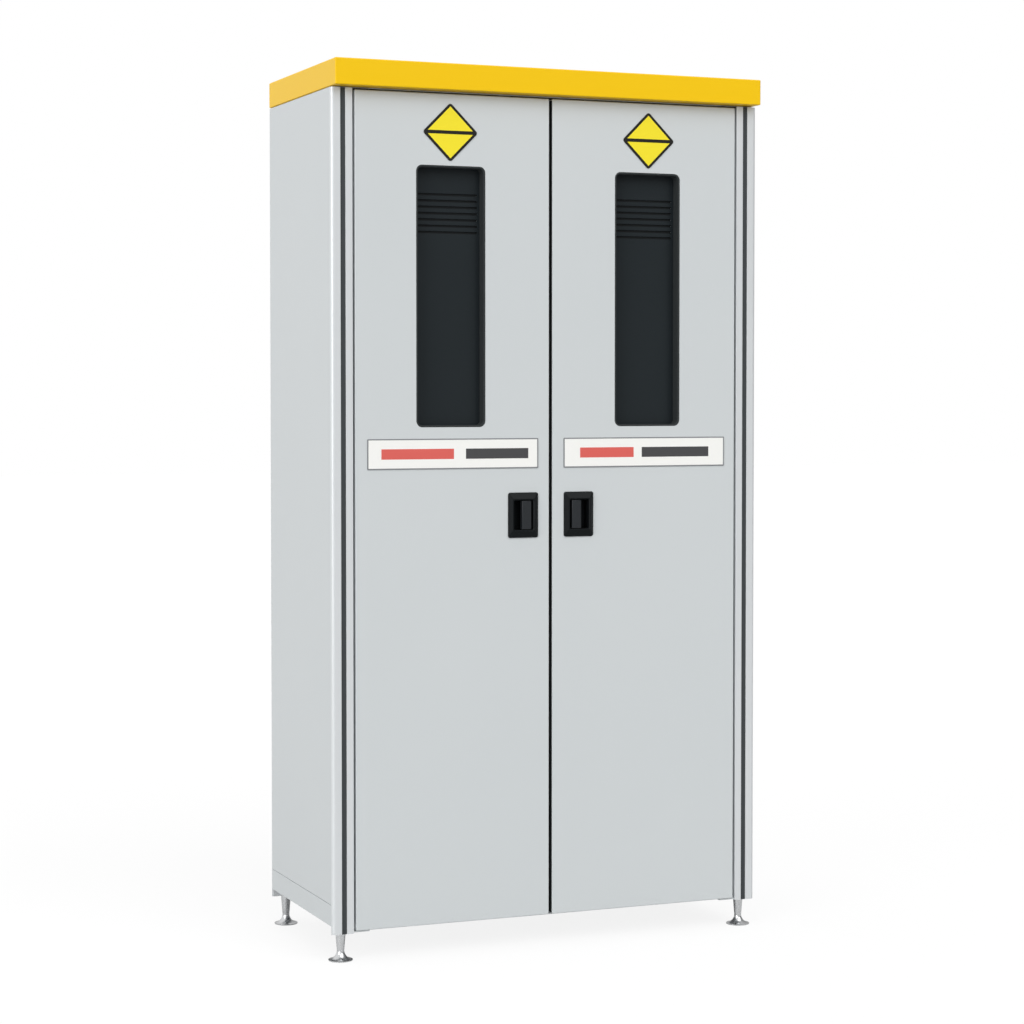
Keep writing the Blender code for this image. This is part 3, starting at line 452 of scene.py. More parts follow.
def join(shape, other):
    """Take a second shape into the first."""
    mesh = bpy.data.meshes.new("joined")
    other.to_mesh(mesh)
    other.free()
    shape.from_mesh(mesh)
    bpy.data.meshes.remove(mesh)


def make_base_rail(side_name, side, material):
    """A tube between the posts, whose outer wall runs on over both of them."""
    node = f"base_rail_{side_name}"
    low, high = (Vector(corner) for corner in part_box(node))
    sheet_low, sheet_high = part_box(f"side_panel_{side_name}")
    tube_low, tube_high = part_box(f"top_rail_{side_name}")
    outer_wall = block_between((sheet_low[0], low.y, low.z), (sheet_high[0], high.y, high.z))
    soften(outer_wall, outer_wall.edges[:], SHEET_EDGE)
    inner = max(low.x, sheet_high[0]) if side < 0 else low.x
    outer = high.x if side < 0 else min(high.x, sheet_low[0])
    tube = block_between((inner, tube_low[1], low.z), (outer, tube_high[1], high.z))
    soften(tube, edges_along(tube, 1), TUBE_RADIUS / 2, segments=3)
    tube.normal_update()
    ends = faces_towards(tube, 1, 1) + faces_towards(tube, 1, -1)
    bmesh.ops.delete(tube, geom=ends, context="FACES_ONLY")
    bmesh.ops.recalc_face_normals(tube, faces=tube.faces)
    bmesh.ops.solidify(tube, geom=tube.faces[:], thickness=TUBE_WALL)
    join(outer_wall, tube)
    install(outer_wall, f"base_tube_{side_name}", node, material)


for node in ("rail_front_top", "rail_front_bottom", "rail_rear_top", "rail_rear_bottom"):
    make_tube(node, f"{node}_tube", 0, grey_paint)
for side_name, side in SIDES.items():
    make_base_rail(side_name, side, grey_paint)
    make_tube(f"top_rail_{side_name}", f"top_tube_{side_name}", 1, grey_paint)
    make_sheet(f"side_panel_{side_name}", f"side_sheet_{side_name}", grey_paint)
make_sheet("back_panel", "back_sheet", grey_paint)
make_sheet("roof_panel", "roof_sheet", grey_paint)

# Floor, strikes, pivots and latches
# The floor, the lower strike and the latches are zinc plated steel, and the bushes are nylon. The
# pivot plates are screwed to the posts: the upper ones and their strike are black, as painted shade
# that darkens the gap under the cap, and the lower ones are grey.
ZINC = (0.62, 0.635, 0.65)
ZINC_SHADE = (0.50, 0.515, 0.535)
NYLON = (0.80, 0.79, 0.74)
# Black for the upper pivot plates and strike: painted shade for the dark gap under the cap.
GAP_SHADE_BLACK = (0.020, 0.021, 0.022)
GAP_SHADE_BLACK_CLOUD = (0.016, 0.017, 0.018)


def zinc_plating():
    """Dull bright plating with a cloudy bloom and fine rolling marks."""
    made, shader, place = surface("zinc_plating", ZINC, roughness=0.42, metallic=0.9)
    bloom = grain(place, scale=24.0, detail=4.0)
    rolled = grain(place, scale=700.0, stretch=(0.02, 1.0, 1.0))
    blend_colours(bloom, ZINC_SHADE, ZINC).into(shader.inputs["Base Color"])
    vary_roughness(shader, rolled, low=0.34 + bloom * 0.1, spread=0.08)
    emboss(shader, rolled, strength=0.1, depth=0.0001)
    return made


def natural_nylon():
    made, shader, place = surface("natural_nylon", NYLON, roughness=0.5)
    vary_roughness(shader, grain(place, scale=900.0), low=0.44, spread=0.12)
    return made


def dress(nodes, material):
    """Give CAD nodes whose shape stays a finish of their own."""
    for node in nodes:
        made = frame["nodes"][node]
        made.data.materials.clear()
        made.data.materials.append(material)


zinc = zinc_plating()
dress(("floor_panel", "strike_lower"), zinc)
# Painted shade: black on the upper pivot plates and upper strike darkens the gap under the cap.
gap_shade_black_paint = powder_coat("black_powder_coat_as_gap_shade", GAP_SHADE_BLACK, GAP_SHADE_BLACK_CLOUD)
dress(("strike_upper", "pivot_upper_left", "pivot_upper_right"), gap_shade_black_paint)
dress(("pivot_lower_left", "pivot_lower_right"), grey_paint)
nylon = natural_nylon()
for side_name in SIDES:
    dress((f"latch_case_{side_name}", f"latch_rod_upper_{side_name}",
           f"latch_rod_lower_{side_name}"), zinc)
    dress((f"pivot_bush_upper_{side_name}", f"pivot_bush_lower_{side_name}"), nylon)

# Cylinder brackets
# Two bars across the back hold the cylinders apart. They are moulded in black plastic with a
# round seat for each cylinder, and bolted through the back between the seats.
BRACKET_BLACK = (0.030, 0.032, 0.034)


def moulded_plastic(name, colour, roughness, specular=0.35):
    """Black moulding with a fine spark-eroded grain."""
    made, shader, place = surface(name, colour, roughness, specular=specular)
    pits = grain(place, scale=1100.0, detail=3.0)
    cloud = grain(place, scale=30.0)
    vary_roughness(shader, cloud, low=roughness - 0.08 + pits * 0.12, spread=0.04)
    emboss(shader, pits, strength=0.25, depth=0.00012)
    return made


bracket_plastic = moulded_plastic("bracket_moulding", BRACKET_BLACK, roughness=0.55)
dress(("cylinder_bracket_lower", "cylinder_bracket_upper"), bracket_plastic)

# Top cap
# The cap is one sheet folded down on all four sides and in again below, with its corners welded
# and ground. It is powder coated yellow and drops over the roof, standing out over the doors.
CAP_YELLOW = (0.935, 0.585, 0.001)
CAP_YELLOW_SHADE = (0.915, 0.560, 0.001)
CAP_FOLD = 0.0025
CAP_WALL = 0.0015
CAP_LIP_BEARING = 0.022

yellow_paint = powder_coat("yellow_powder_coat", CAP_YELLOW, CAP_YELLOW_SHADE,
                           roughness=0.34, specular=0.25)


def make_cap(material):
    low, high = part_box("top_cap")
    shape = block_between(low, high)
    soften(shape, shape.edges[:], CAP_FOLD, segments=4)
    shape.normal_update()
    under = faces_towards(shape, 2, -1)
    bmesh.ops.inset_region(shape, faces=under, thickness=CAP_LIP_BEARING, depth=0)
    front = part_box("door_skin_left")[0][1] + CAP_LIP_BEARING
    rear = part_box("post_rear_left")[1][1] - CAP_LIP_BEARING
    for vert in {vert for face in under for vert in face.verts}:
        vert.co.y = front if vert.co.y < 0 else rear
    bmesh.ops.delete(shape, geom=under, context="FACES_ONLY")
    bmesh.ops.recalc_face_normals(shape, faces=shape.faces)
    bmesh.ops.solidify(shape, geom=shape.faces[:], thickness=CAP_WALL)
    install(shape, "folded_cap", "top_cap", material)


make_cap(yellow_paint)

# Door sheets
# Each door is a tray of thin sheet steel, folded back on all four edges and pierced for the
# window, the handle, the pivot pins and the latch rods. A flat liner closes it inside.
DOOR_WALL = 0.0012
DOOR_FOLD = 0.0018
WINDOW_CORNER = 0.0135
HANDLE_PAN_MARGIN = 0.0047
PIN_HOLE_RADIUS = 0.0043
ROD_HOLE_CLEARANCE = 0.0005
SQUARE_FOLD_RAD = 1.0


def outline_in(shape, axis, level, low, high, radius, segments=8):
    """The edges of a rectangle with round corners, across an axis at a level."""
    first, second = [number for number in range(3) if number != axis]
    corners = []
    for a, b in ((low[first], low[second]), (high[first], low[second]),
                 (high[first], high[second]), (low[first], high[second])):
        place = [level, level, level]
        place[first] = a
        place[second] = b
        corners.append(shape.verts.new(place))
    face = shape.faces.new(corners)
    if radius:
        before = set(shape.faces) - {face}
        round_corners(shape, corners, radius, segments)
        face = (set(shape.faces) - before).pop()
    return open_outline(shape, face)


def circle_in(shape, level, centre, radius):
    """The edges of a round hole in a level sheet."""
    place = Matrix.Translation((centre[0], centre[1], level))
    ring = bmesh.ops.create_circle(shape, segments=24, radius=radius, matrix=place)
    return list({edge for vert in ring["verts"] for edge in vert.link_edges})


def frame_joint(name):
    """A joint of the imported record, by name."""
    return next(joint for joint in frame["record"]["behaviour"]["joints"] if joint["name"] == name)


def make_door_skin(side_name, material):
    node = f"door_skin_{side_name}"
    low, high = (Vector(corner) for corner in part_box(node))
    shape = bmesh.new()
    window_low, window_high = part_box(f"window_gasket_{side_name}")
    handle_low, handle_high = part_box(f"handle_frame_{side_name}")
    margin = Vector((HANDLE_PAN_MARGIN, 0, HANDLE_PAN_MARGIN))
    grow = Vector((FIT_GAP, 0, FIT_GAP))
    front = outline_in(shape, 1, low.y, low, high, radius=0)
    front += outline_in(shape, 1, low.y, Vector(window_low) - grow, Vector(window_high) + grow,
                        WINDOW_CORNER)
    front += outline_in(shape, 1, low.y, Vector(handle_low) + margin, Vector(handle_high) - margin,
                        radius=0)
    bmesh.ops.triangle_fill(shape, edges=front, use_beauty=True)
    pin = frame_joint(f"door_{side_name}_swing")["pos_m"]
    rod_low, rod_high = (Vector(corner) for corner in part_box(f"latch_rod_upper_{side_name}"))
    gap = Vector((ROD_HOLE_CLEARANCE, ROD_HOLE_CLEARANCE, 0))
    for level in (low.z, high.z):
        end = outline_in(shape, 2, level, low, high, radius=0)
        end += circle_in(shape, level, pin, PIN_HOLE_RADIUS)
        end += outline_in(shape, 2, level, rod_low - gap, rod_high + gap, radius=0)
        bmesh.ops.triangle_fill(shape, edges=end, use_beauty=True)
    for level in (low.x, high.x):
        edge = outline_in(shape, 0, level, low, high, radius=0)
        bmesh.ops.triangle_fill(shape, edges=edge, use_beauty=True)
    bmesh.ops.remove_doubles(shape, verts=shape.verts, dist=MERGE_DISTANCE)
    bmesh.ops.recalc_face_normals(shape, faces=shape.faces)
    folds = [edge for edge in shape.edges
             if len(edge.link_faces) == 2 and edge.calc_face_angle() > SQUARE_FOLD_RAD]
    soften(shape, folds, DOOR_FOLD, segments=4)
    bmesh.ops.recalc_face_normals(shape, faces=shape.faces)
    bmesh.ops.solidify(shape, geom=shape.faces[:], thickness=DOOR_WALL)
    install(shape, f"door_tray_{side_name}", node, material)


for side_name in SIDES:
    make_door_skin(side_name, grey_paint)
    dress((f"door_liner_{side_name}",), grey_paint)

# Rivets and screws
# The back panel and the door liners are held by dome rivets, set in from their edges at even
# steps. Two button-head screws at each horn hold a cylinder bracket to the back.
RIVET_RADIUS = 0.0034
RIVET_RISE = 0.0013
RIVET_INSET = 0.011
RIVET_STEP = 0.16
SCREW_RADIUS = 0.0045
SCREW_RISE = 0.0026
SCREW_ROUND = 0.0011
SOCKET_RADIUS = 0.0022
SOCKET_DEPTH = 0.0015
SOCKET_TAPER = 0.00015
SCREW_SPREAD = 0.013
HORN_SHARES = (0.012, 1 / 3, 2 / 3, 0.988)


def steps_between(low, high):
    """Even steps from one end to the other, about a rivet step apart."""
    count = max(1, round((high - low) / RIVET_STEP))
    return [low + (high - low) * number / count for number in range(count + 1)]


def rivet_places(low, high):
    """Places round the edge of a panel that faces along Y."""
    first, last = low.x + RIVET_INSET, high.x - RIVET_INSET
    bottom, top = low.z + RIVET_INSET, high.z - RIVET_INSET
    sides = [(across, up) for up in steps_between(bottom, top) for across in (first, last)]
    ends = [(across, up) for across in steps_between(first, last)[1:-1] for up in (bottom, top)]
    return sides + ends


def make_rivets(name, node, places, level, material):
    """Low domes on a face that looks to the back, each cut off flat where it meets the sheet."""
    shape = bmesh.new()
    turned = Matrix.Rotation(math.pi / 2, 4, "X")
    flat = Matrix.Diagonal((1, RIVET_RISE / RIVET_RADIUS, 1, 1)) @ turned
    for across, up in places:
        bmesh.ops.create_uvsphere(shape, u_segments=14, v_segments=8, radius=RIVET_RADIUS,
                                  matrix=Matrix.Translation((across, level, up)) @ flat)
    bmesh.ops.bisect_plane(shape, geom=shape.verts[:] + shape.edges[:] + shape.faces[:],
                           plane_co=(0, level, 0), plane_no=(0, -1, 0), clear_outer=True)
    bmesh.ops.holes_fill(shape, edges=shape.edges[:])
    install(shape, name, node, material, stands_for=False)


def make_screws(name, node, places, level, material):
    """Button heads with a round socket, on a face that looks to the front."""
    shape = bmesh.new()
    turned = Matrix.Rotation(math.pi / 2, 4, "X")
    for across, up in places:
        head = bmesh.new()
        place = Matrix.Translation((across, level - SCREW_RISE / 2, up))
        bmesh.ops.create_cone(head, cap_ends=True, segments=20, radius1=SCREW_RADIUS,
                              radius2=SCREW_RADIUS, depth=SCREW_RISE, matrix=place @ turned)
        head.normal_update()
        face = faces_towards(head, 1, -1)[0]
        soften(head, list(face.edges), SCREW_ROUND, segments=3)
        head.normal_update()
        face = max(faces_towards(head, 1, -1), key=lambda item: item.calc_area())
        bmesh.ops.inset_region(head, faces=[face],
                               thickness=SCREW_RADIUS - SCREW_ROUND - SOCKET_RADIUS)
        bmesh.ops.inset_region(head, faces=[face], thickness=SOCKET_TAPER, depth=-SOCKET_DEPTH)
        join(shape, head)
    install(shape, name, node, material, stands_for=False)


panel_low, panel_high = (Vector(corner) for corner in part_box("back_panel"))
make_rivets("back_rivets", "strike_lower", rivet_places(panel_low, panel_high), panel_high.y, zinc)
for side_name in SIDES:
    liner_low, liner_high = (Vector(corner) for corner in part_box(f"door_liner_{side_name}"))
    make_rivets(f"liner_rivets_{side_name}", f"latch_case_{side_name}",
                rivet_places(liner_low, liner_high), liner_high.y, zinc)
for level in ("lower", "upper"):
    bar_low, bar_high = (Vector(corner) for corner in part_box(f"cylinder_bracket_{level}"))
    middle = (bar_low.z + bar_high.z) / 2
    screws = [(bar_low.x + share * (bar_high.x - bar_low.x), middle + up)
              for share in HORN_SHARES for up in (-SCREW_SPREAD, SCREW_SPREAD)]
    make_screws(f"bracket_screws_{level}", "strike_lower", screws, bar_low.y, zinc)

# Windows
# A deep frame of black rubber lines each window opening. Behind it sits a dark tinted plastic
# pane, routed near the top with seven slots that let air through, with an insect screen behind.
RUBBER_BLACK = (0.030, 0.035, 0.036)
PANE_TINT = (0.015, 0.020, 0.023)
GASKET_WALL = 0.0037
GASKET_ROUND = 0.0012
PANE_CORNER = 0.020
VENT_COUNT = 7
VENT_PITCH = 0.0134
VENT_FIRST = 0.060
VENT_MARGIN = 0.009
VENT_HEIGHT = 0.0052
VENT_ROUND = VENT_HEIGHT * 0.49
SCREEN_BLACK = (0.0075, 0.0095, 0.0105)
SCREEN_MARGIN = 0.006
SCREEN_GAP = 0.00015
SCREEN_THICKNESS = 0.0012
SCREEN_FRAME = 0.003
SCREEN_SINK = 0.0004


def cured_rubber():
    made, shader, place = surface("cured_rubber", RUBBER_BLACK, roughness=0.7, specular=0.25)
    vary_roughness(shader, grain(place, scale=60.0, detail=4.0), low=0.6, spread=0.2)
    return made


def tinted_pane():
    """Smoked plastic sheet, nearly opaque, with a satin face."""
    made, shader, place = surface("tinted_pane", PANE_TINT, roughness=0.32, specular=0.16)
    vary_roughness(shader, grain(place, scale=9.0), low=0.28, spread=0.1)
    return made


def insect_screen():
    """Black plastic mesh, woven too close for its holes to show."""
    made, shader, place = surface("insect_screen", SCREEN_BLACK, roughness=0.6, specular=0.2)
    weave = grain(place, scale=1200.0, detail=1.0)
    vary_roughness(shader, weave, low=0.5, spread=0.3)
    emboss(shader, weave, strength=0.3, depth=0.0003)
    return made


def make_screen(side_name, material):
    pane_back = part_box(f"window_pane_{side_name}")[1][1]
    window_low, window_high = (Vector(corner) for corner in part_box(f"window_gasket_{side_name}"))
    reach = VENT_HEIGHT / 2 + SCREEN_MARGIN
    top = window_high.z - VENT_FIRST + reach
    bottom = window_high.z - VENT_FIRST - (VENT_COUNT - 1) * VENT_PITCH - reach
    inset = VENT_MARGIN - SCREEN_MARGIN
    screen = block_between((window_low.x + inset, pane_back + SCREEN_GAP, bottom),
                           (window_high.x - inset, pane_back + SCREEN_THICKNESS, top))
    screen.normal_update()
    for facing in (-1, 1):
        bmesh.ops.inset_region(screen, faces=faces_towards(screen, 1, facing),
                               thickness=SCREEN_FRAME, depth=-SCREEN_SINK)
    install(screen, f"vent_screen_{side_name}", f"handle_frame_{side_name}", material,
            stands_for=False)


def fill_and_extrude(shape, edges, push):
    """A slab from closed outlines, with holes where one lies inside another."""
    filled = bmesh.ops.triangle_fill(shape, edges=edges, use_beauty=True)
    faces = [item for item in filled["geom"] if isinstance(item, bmesh.types.BMFace)]
    extrude(shape, faces, push)


def make_gasket(side_name, material):
    node = f"window_gasket_{side_name}"
    low, high = (Vector(corner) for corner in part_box(node))
    shape = bmesh.new()
    rim = outline_in(shape, 1, low.y, low, high, WINDOW_CORNER)
    inner = Vector((GASKET_WALL, 0, GASKET_WALL))
    rim += outline_in(shape, 1, low.y, low + inner, high - inner, WINDOW_CORNER - GASKET_WALL)
    fill_and_extrude(shape, rim, (0, high.y - low.y, 0))
    bmesh.ops.recalc_face_normals(shape, faces=shape.faces)
    lip = [edge for edge in shape.edges
           if len(edge.link_faces) == 2 and edge.calc_face_angle() > SQUARE_FOLD_RAD
           and all(vert.co.y < low.y + MERGE_DISTANCE for vert in edge.verts)]
    soften(shape, lip, GASKET_ROUND, segments=3)
    install(shape, f"window_frame_{side_name}", node, material)


def make_pane(side_name, material):
    node = f"window_pane_{side_name}"
    low, high = (Vector(corner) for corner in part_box(node))
    window_low, window_high = (Vector(corner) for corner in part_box(f"window_gasket_{side_name}"))
    shape = bmesh.new()
    edges = outline_in(shape, 1, low.y, low, high, PANE_CORNER)
    for number in range(VENT_COUNT):
        level = window_high.z + FIT_GAP - VENT_FIRST - number * VENT_PITCH
        vent_low = Vector((window_low.x + VENT_MARGIN - FIT_GAP, 0, level - VENT_HEIGHT / 2))
        vent_high = Vector((window_high.x - VENT_MARGIN + FIT_GAP, 0, level + VENT_HEIGHT / 2))
        edges += outline_in(shape, 1, low.y, vent_low, vent_high, VENT_ROUND, segments=4)
    fill_and_extrude(shape, edges, (0, high.y - low.y, 0))
    install(shape, f"tinted_window_{side_name}", node, material)


rubber = cured_rubber()
pane_plastic = tinted_pane()
mesh_cloth = insect_screen()
for side_name in SIDES:
    make_gasket(side_name, rubber)
    make_pane(side_name, pane_plastic)
    make_screen(side_name, mesh_cloth)

# Meeting seals
# A thin strip of black rubber is glued to the edge of each door where the two meet. It is
# extruded with a groove down its middle and fills the gap with dark, short of touching.
SEAL_THICKNESS = 0.0011
SEAL_GLUE = 0.00005
SEAL_MARGIN = 0.003
SEAL_LIP = 0.004
SEAL_GROOVE = 0.0005


def make_seal(side_name, side, material):
    low, high = (Vector(corner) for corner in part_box(f"door_skin_{side_name}"))
    edge = low.x if side > 0 else high.x
    across = sorted((edge - side * SEAL_GLUE, edge - side * SEAL_THICKNESS))
    shape = block_between((across[0], low.y + SEAL_MARGIN, low.z + SEAL_MARGIN),
                          (across[1], high.y - SEAL_MARGIN, high.z - SEAL_MARGIN))
    shape.normal_update()
    face = faces_towards(shape, 0, -side)
    bmesh.ops.inset_region(shape, faces=face, thickness=SEAL_LIP, depth=-SEAL_GROOVE)
    install(shape, f"meeting_seal_{side_name}", f"window_gasket_{side_name}", material,
            stands_for=False)


for side_name, side in SIDES.items():
    make_seal(side_name, side, rubber)

# Placards
# A small square plate stands on its corner over each window. It is printed yellow with a black
# edge and a bar across the middle, and left without any sign.
PLACARD_YELLOW = (0.93, 0.78, 0.030)
INK_BLACK = (0.012, 0.012, 0.009)
PLACARD_CORNER = 0.006
PLACARD_EDGE = 0.0056
PLACARD_BAR = 0.0075
PRINT_EDGE = 0.0003


def printed_placard(name, centre, reach):
    """Yellow film with its black edge and bar, laid out from the plate's middle."""
    made, shader, place = surface(name, PLACARD_YELLOW, roughness=0.35, specular=0.25)
    apart = place.node("SeparateXYZ", {"Vector": place})
    across = abs(apart - centre.x)
    up = abs(apart.other_output("Z") - centre.z)
    edge = across + up > reach - PLACARD_EDGE * math.sqrt(2)
    bar = up < PLACARD_BAR / 2
    ink = place.maths("MAXIMUM", edge, bar)
    blend_colours(ink, PLACARD_YELLOW, INK_BLACK).into(shader.inputs["Base Color"])
    vary_roughness(shader, grain(place, scale=500.0), low=0.32, spread=0.08)
    return made


def make_placard(side_name):
    node = f"placard_{side_name}"
    low, high = (Vector(corner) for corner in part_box(node))
    centre = (low + high) / 2
    reach = (high.z - low.z) / 2
    shape = bmesh.new()
    corners = [shape.verts.new((centre.x + across * reach, high.y, centre.z + up * reach))
               for across, up in ((1, 0), (0, 1), (-1, 0), (0, -1))]
    shape.faces.new(corners)
    round_corners(shape, corners, PLACARD_CORNER, segments=5)
    extrude(shape, shape.faces[:], (0, low.y - high.y, 0))
    shape.normal_update()
    face = faces_towards(shape, 1, -1)
    soften(shape, [edge for item in face for edge in item.edges], PRINT_EDGE)
    film = printed_placard(f"placard_print_{side_name}", centre, reach)
    install(shape, f"printed_placard_{side_name}", node, film)


for side_name in SIDES:
    make_placard(side_name)

# Label plates
# A long white plate is stuck on each door under the window. It is printed with a thin grey edge
# line and, in place of words, one red bar and one dark bar.
LABEL_WHITE = (0.93, 0.93, 0.90)
LABEL_GREY = (0.22, 0.23, 0.24)
LABEL_RED = (0.72, 0.12, 0.10)
LABEL_DARK = (0.055, 0.055, 0.058)
LABEL_CORNER = 0.002
LABEL_LINE = 0.0026
LABEL_BAR_HEIGHT = 0.022
RED_SHARES = {"left": (0.08, 0.50), "right": (0.10, 0.43)}
DARK_SHARES = {"left": (0.57, 0.94), "right": (0.48, 0.90)}


def printed_label(name, side_name, low, high):
    """White film with its edge line and two bars, laid out over the plate."""
    made, shader, place = surface(name, LABEL_WHITE, roughness=0.35)
    across = place.node("SeparateXYZ", {"Vector": place})
    up = across.other_output("Z")
    centre = (low + high) / 2
    half = (high - low) / 2
    line_x = abs(across - centre.x) > half.x - LABEL_LINE
    line_z = abs(up - centre.z) > half.z - LABEL_LINE
    colour = blend_colours(place.maths("MAXIMUM", line_x, line_z), LABEL_WHITE, LABEL_GREY)
    level = abs(up - centre.z) < LABEL_BAR_HEIGHT / 2
    for shares, ink in ((RED_SHARES, LABEL_RED), (DARK_SHARES, LABEL_DARK)):
        start, stop = (low.x + share * 2 * half.x for share in shares[side_name])
        inside = abs(across - (start + stop) / 2) < (stop - start) / 2
        colour = blend_colours(inside * level, colour, ink)
    colour.into(shader.inputs["Base Color"])
    vary_roughness(shader, grain(place, scale=500.0), low=0.32, spread=0.08)
    return made


for side_name in SIDES:
    node = f"label_plate_{side_name}"
    low, high = (Vector(corner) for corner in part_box(node))
    label = block_between(low, high)
    soften(label, edges_along(label, 1), LABEL_CORNER, segments=4)
    label.normal_update()
    face = faces_towards(label, 1, -1)
    soften(label, [edge for item in face for edge in item.edges], PRINT_EDGE)
    film = printed_label(f"label_print_{side_name}", side_name, low, high)
    install(label, f"printed_label_{side_name}", node, film)

# Handles
# Each door has a pull of moulded black plastic. A frame with sloping sides sits on the door with
# its pan behind; fingers pull the paddle on its upright axle in the pan to free the latch. The
# paddle is a lighter black than the frame: painted light, for the light a raised paddle catches.
HANDLE_BLACK = (0.0068, 0.0086, 0.0096)
# Lighter than the frame's black: a painted highlight on the paddle.
PADDLE_LIT_BLACK = (0.017, 0.020, 0.023)
HANDLE_CORNER = 0.005
HANDLE_RIM = 0.0025
HANDLE_RIM_ROUND = 0.0009
HANDLE_FACE_BAND = 0.004
HANDLE_FACE_ROUND = 0.0008
MOUTH_NEAR_MARGIN = 0.013
MOUTH_FAR_MARGIN = 0.012
MOUTH_END_MARGIN = 0.017
MOUTH_SLOPE = 0.002
MOUTH_SLOPE_DEPTH = 0.002
PAN_WALL = 0.002
PADDLE_ROUND = 0.0022
AXLE_RADIUS = 0.0025
PADDLE_GAP = 0.0012
START_INSET = 1e-5

handle_plastic = moulded_plastic("handle_moulding", HANDLE_BLACK, roughness=0.36, specular=0.10)
# The paddle's lighter black is painted light.
paddle_plastic_painted_light = moulded_plastic("paddle_moulding_painted_light", PADDLE_LIT_BLACK, roughness=0.36, specular=0.30)


def fit_face(face, low, high, level):
    """Move a face's outline so that it fills a rectangle at a level, with its round corners kept."""
    across = [vert.co.x for vert in face.verts]
    up = [vert.co.z for vert in face.verts]
    for vert in face.verts:
        share_x = (vert.co.x - min(across)) / (max(across) - min(across))
        share_z = (vert.co.z - min(up)) / (max(up) - min(up))
        vert.co = Vector((low[0] + share_x * (high[0] - low[0]), level,
                          low[1] + share_z * (high[1] - low[1])))


def inset_to(shape, face, low, high, level):
    """A ring of faces from a face's outline to a rectangle inside it, which the face becomes."""
    bmesh.ops.inset_region(shape, faces=[face], thickness=START_INSET, depth=0)
    fit_face(face, low, high, level)


def widened(low, high, margin):
    """A rectangle grown all round, or shrunk by a margin below zero."""
    return [value - margin for value in low], [value + margin for value in high]


def make_handle_frame(side_name, side, material):
    node = f"handle_frame_{side_name}"
    low, high = (Vector(corner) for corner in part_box(node))
    door_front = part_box(f"door_skin_{side_name}")[0][1]
    near = low.x if side > 0 else high.x
    far = high.x if side > 0 else low.x
    shape = bmesh.new()
    outline = outline_in(shape, 1, door_front - FIT_GAP, low, high, HANDLE_CORNER, segments=6)
    base = bmesh.ops.contextual_create(shape, geom=outline)["faces"][0]
    extrude(shape, [base], (0, -HANDLE_RIM + FIT_GAP, 0))
    bmesh.ops.recalc_face_normals(shape, faces=shape.faces)
    face = faces_towards(shape, 1, -1)[0]
    soften(shape, list(face.edges), HANDLE_RIM_ROUND)
    shape.normal_update()
    face = faces_towards(shape, 1, -1)[0]
    mouth_x = sorted((near + side * MOUTH_NEAR_MARGIN, far - side * MOUTH_FAR_MARGIN))
    mouth_low = (mouth_x[0], low.z + MOUTH_END_MARGIN)
    mouth_high = (mouth_x[1], high.z - MOUTH_END_MARGIN)
    inset_to(shape, face, *widened(mouth_low, mouth_high, HANDLE_FACE_BAND),
             low.y + HANDLE_FACE_ROUND / 3)
    inset_to(shape, face, *widened(mouth_low, mouth_high, HANDLE_FACE_BAND - HANDLE_FACE_ROUND),
             low.y)
    inset_to(shape, face, *widened(mouth_low, mouth_high, MOUTH_SLOPE), low.y)
    inset_to(shape, face, mouth_low, mouth_high, low.y + MOUTH_SLOPE_DEPTH)
    inset_to(shape, face, mouth_low, mouth_high, high.y - PAN_WALL)
    back = max(faces_towards(shape, 1, 1), key=lambda item: item.calc_area())
    pan_inset = HANDLE_PAN_MARGIN + FIT_GAP
    pan_low, pan_high = widened((low.x, low.z), (high.x, high.z), -pan_inset)
    inset_to(shape, back, pan_low, pan_high, door_front - FIT_GAP)
    inset_to(shape, back, pan_low, pan_high, high.y)
    install(shape, f"handle_surround_{side_name}", node, material, sharp_deg=35.0)


def make_paddle(side_name, material):
    node = f"paddle_{side_name}"
    low, high = (Vector(corner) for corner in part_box(node))
    frame_low, frame_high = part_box(f"handle_frame_{side_name}")
    mouth_height = frame_high[2] - frame_low[2] - 2 * MOUTH_END_MARGIN
    stub = (high.z - low.z - mouth_height) / 2 + PADDLE_GAP
    axle = Vector(frame_joint(f"paddle_{side_name}_pull")["pos_m"])
    grip = block_between((low.x, low.y, low.z + stub), (high.x, high.y, high.z - stub))
    grip.normal_update()
    face = faces_towards(grip, 1, -1)[0]
    soften(grip, list(face.edges), PADDLE_ROUND, segments=4)
    rod = bmesh.new()
    bmesh.ops.create_cone(rod, cap_ends=True, segments=24, radius1=AXLE_RADIUS, radius2=AXLE_RADIUS,
                          depth=high.z - low.z)
    bmesh.ops.translate(rod, vec=axle, verts=rod.verts)
    join(grip, rod)
    install(grip, f"pull_paddle_{side_name}", node, material)


for side_name, side in SIDES.items():
    make_handle_frame(side_name, side, handle_plastic)
    make_paddle(side_name, paddle_plastic_painted_light)

# Studio
# A white floor that runs into a white surround, lit from all round, with one broad lamp low at
# the left front and one high at the right front. The camera stands where the photographer stood.
CAMERA_PLACE = (-2.1058, -5.1075, 1.2046)
CAMERA_YAW_DEG = -22.368
CAMERA_PITCH_DEG = -1.862
FOCAL_PIXELS = 2454.7
CAMERA_SHIFT_PIXELS = -40.0
PICTURE_SIZE = 1024
SENSOR_WIDTH = 36.0
FLOOR_SIZE = 60.0
FLOOR_GREY = (0.40, 0.40, 0.40)
FLOOR_IN_GLOSS = (0.70, 0.70, 0.70)
SHADOW_SHARE = 0.14
DARK_SIDE_LIGHT = 0.26
BRIGHT_SIDE_LIGHT = 0.90
BRIGHT_SIDE = (-0.85, 0.10, 0.50)
LIGHT_REACH = 0.7


def seen_directly(shade):
    """1 for what the camera sees, also through glass."""
    path = shade.node("LightPath", {}, output="Is Camera Ray")
    return path.maths("MAXIMUM", path, path.other_output("Is Transmission Ray"))


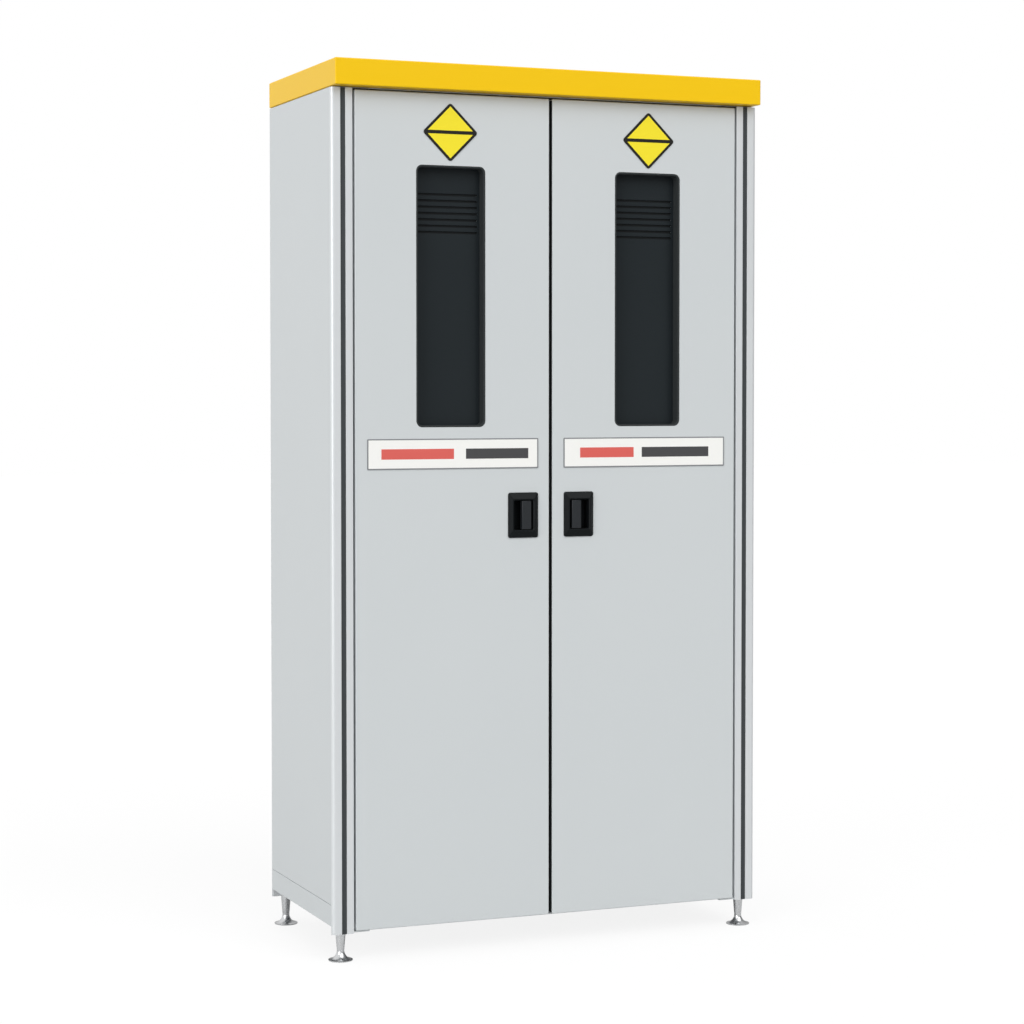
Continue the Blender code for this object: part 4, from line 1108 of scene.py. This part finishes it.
def make_world():
    """White to the camera; to everything else a room that is bright at the left, behind and above."""
    world = bpy.data.worlds.new("white_surround")
    bpy.context.scene.world = world
    world.use_nodes = True
    tree = world.node_tree
    tree.nodes.clear()
    start = Shade(tree)
    towards = start.node("TexCoord", {}, output="Generated")
    share = towards.node("VectorMath", {0: towards, 1: BRIGHT_SIDE}, output="Value",
                         operation="DOT_PRODUCT")
    levels = {"Value": share, "From Min": -LIGHT_REACH, "From Max": LIGHT_REACH,
              "To Min": DARK_SIDE_LIGHT, "To Max": BRIGHT_SIDE_LIGHT}
    strength = share.node("MapRange", levels, interpolation_type="SMOOTHSTEP")
    lighting = start.node("Background", {"Color": (1, 1, 1, 1), "Strength": strength})
    white = start.node("Background", {"Color": (1, 1, 1, 1), "Strength": 1.0})
    mixed = start.node("MixShader", {0: seen_directly(start), 1: lighting, 2: white})
    out = tree.nodes.new("ShaderNodeOutputWorld")
    mixed.into(out.inputs["Surface"])


def make_floor():
    """White to the camera with a faint shadow; a mid grey to all other light."""
    shape = bmesh.new()
    bmesh.ops.create_grid(shape, x_segments=1, y_segments=1, size=FLOOR_SIZE / 2)
    mesh = bpy.data.meshes.new("studio_floor")
    shape.to_mesh(mesh)
    shape.free()
    floor = bpy.data.objects.new("studio_floor", mesh)
    bpy.context.scene.collection.objects.link(floor)
    material = bpy.data.materials.new("white_floor")
    material.use_nodes = True
    tree = material.node_tree
    tree.nodes.clear()
    start = Shade(tree)
    glossy = start.node("LightPath", {}, output="Is Glossy Ray")
    seen = blend_colours(glossy, FLOOR_GREY, FLOOR_IN_GLOSS)
    plain = start.node("BsdfDiffuse", {"Color": seen})
    shadowed = start.node("BsdfDiffuse", {"Color": (1, 1, 1, 1)})
    white = start.node("Emission", {"Color": (1, 1, 1, 1), "Strength": 1.0})
    shown = start.node("MixShader", {0: SHADOW_SHARE, 1: white, 2: shadowed})
    mixed = start.node("MixShader", {0: seen_directly(start), 1: plain, 2: shown})
    out = tree.nodes.new("ShaderNodeOutputMaterial")
    mixed.into(out.inputs["Surface"])
    mesh.materials.append(material)


def make_lamp(name, strength, spread_deg, azimuth_deg, elevation_deg):
    """A lamp so broad and far that it lights evenly; azimuth 0 is in front, 90 on the left."""
    light = bpy.data.lights.new(name, "SUN")
    light.energy = strength
    light.angle = math.radians(spread_deg)
    lamp = bpy.data.objects.new(name, light)
    bpy.context.scene.collection.objects.link(lamp)
    lamp.rotation_euler = (math.radians(90 - elevation_deg), 0, math.radians(-azimuth_deg))


def make_camera():
    data = bpy.data.cameras.new("photographer")
    data.sensor_width = SENSOR_WIDTH
    data.lens = FOCAL_PIXELS * SENSOR_WIDTH / PICTURE_SIZE
    data.shift_y = CAMERA_SHIFT_PIXELS / PICTURE_SIZE
    camera = bpy.data.objects.new("photographer", data)
    bpy.context.scene.collection.objects.link(camera)
    camera.location = CAMERA_PLACE
    camera.rotation_euler = (math.radians(90 + CAMERA_PITCH_DEG), 0, math.radians(CAMERA_YAW_DEG))
    bpy.context.scene.camera = camera


make_world()
make_floor()
make_lamp("lamp_left", strength=1.15, spread_deg=36.0, azimuth_deg=60.0, elevation_deg=12.0)
make_lamp("lamp_front", strength=1.25, spread_deg=50.0, azimuth_deg=-20.0, elevation_deg=42.0)
make_camera()
bpy.context.scene.view_settings.view_transform = "Standard"
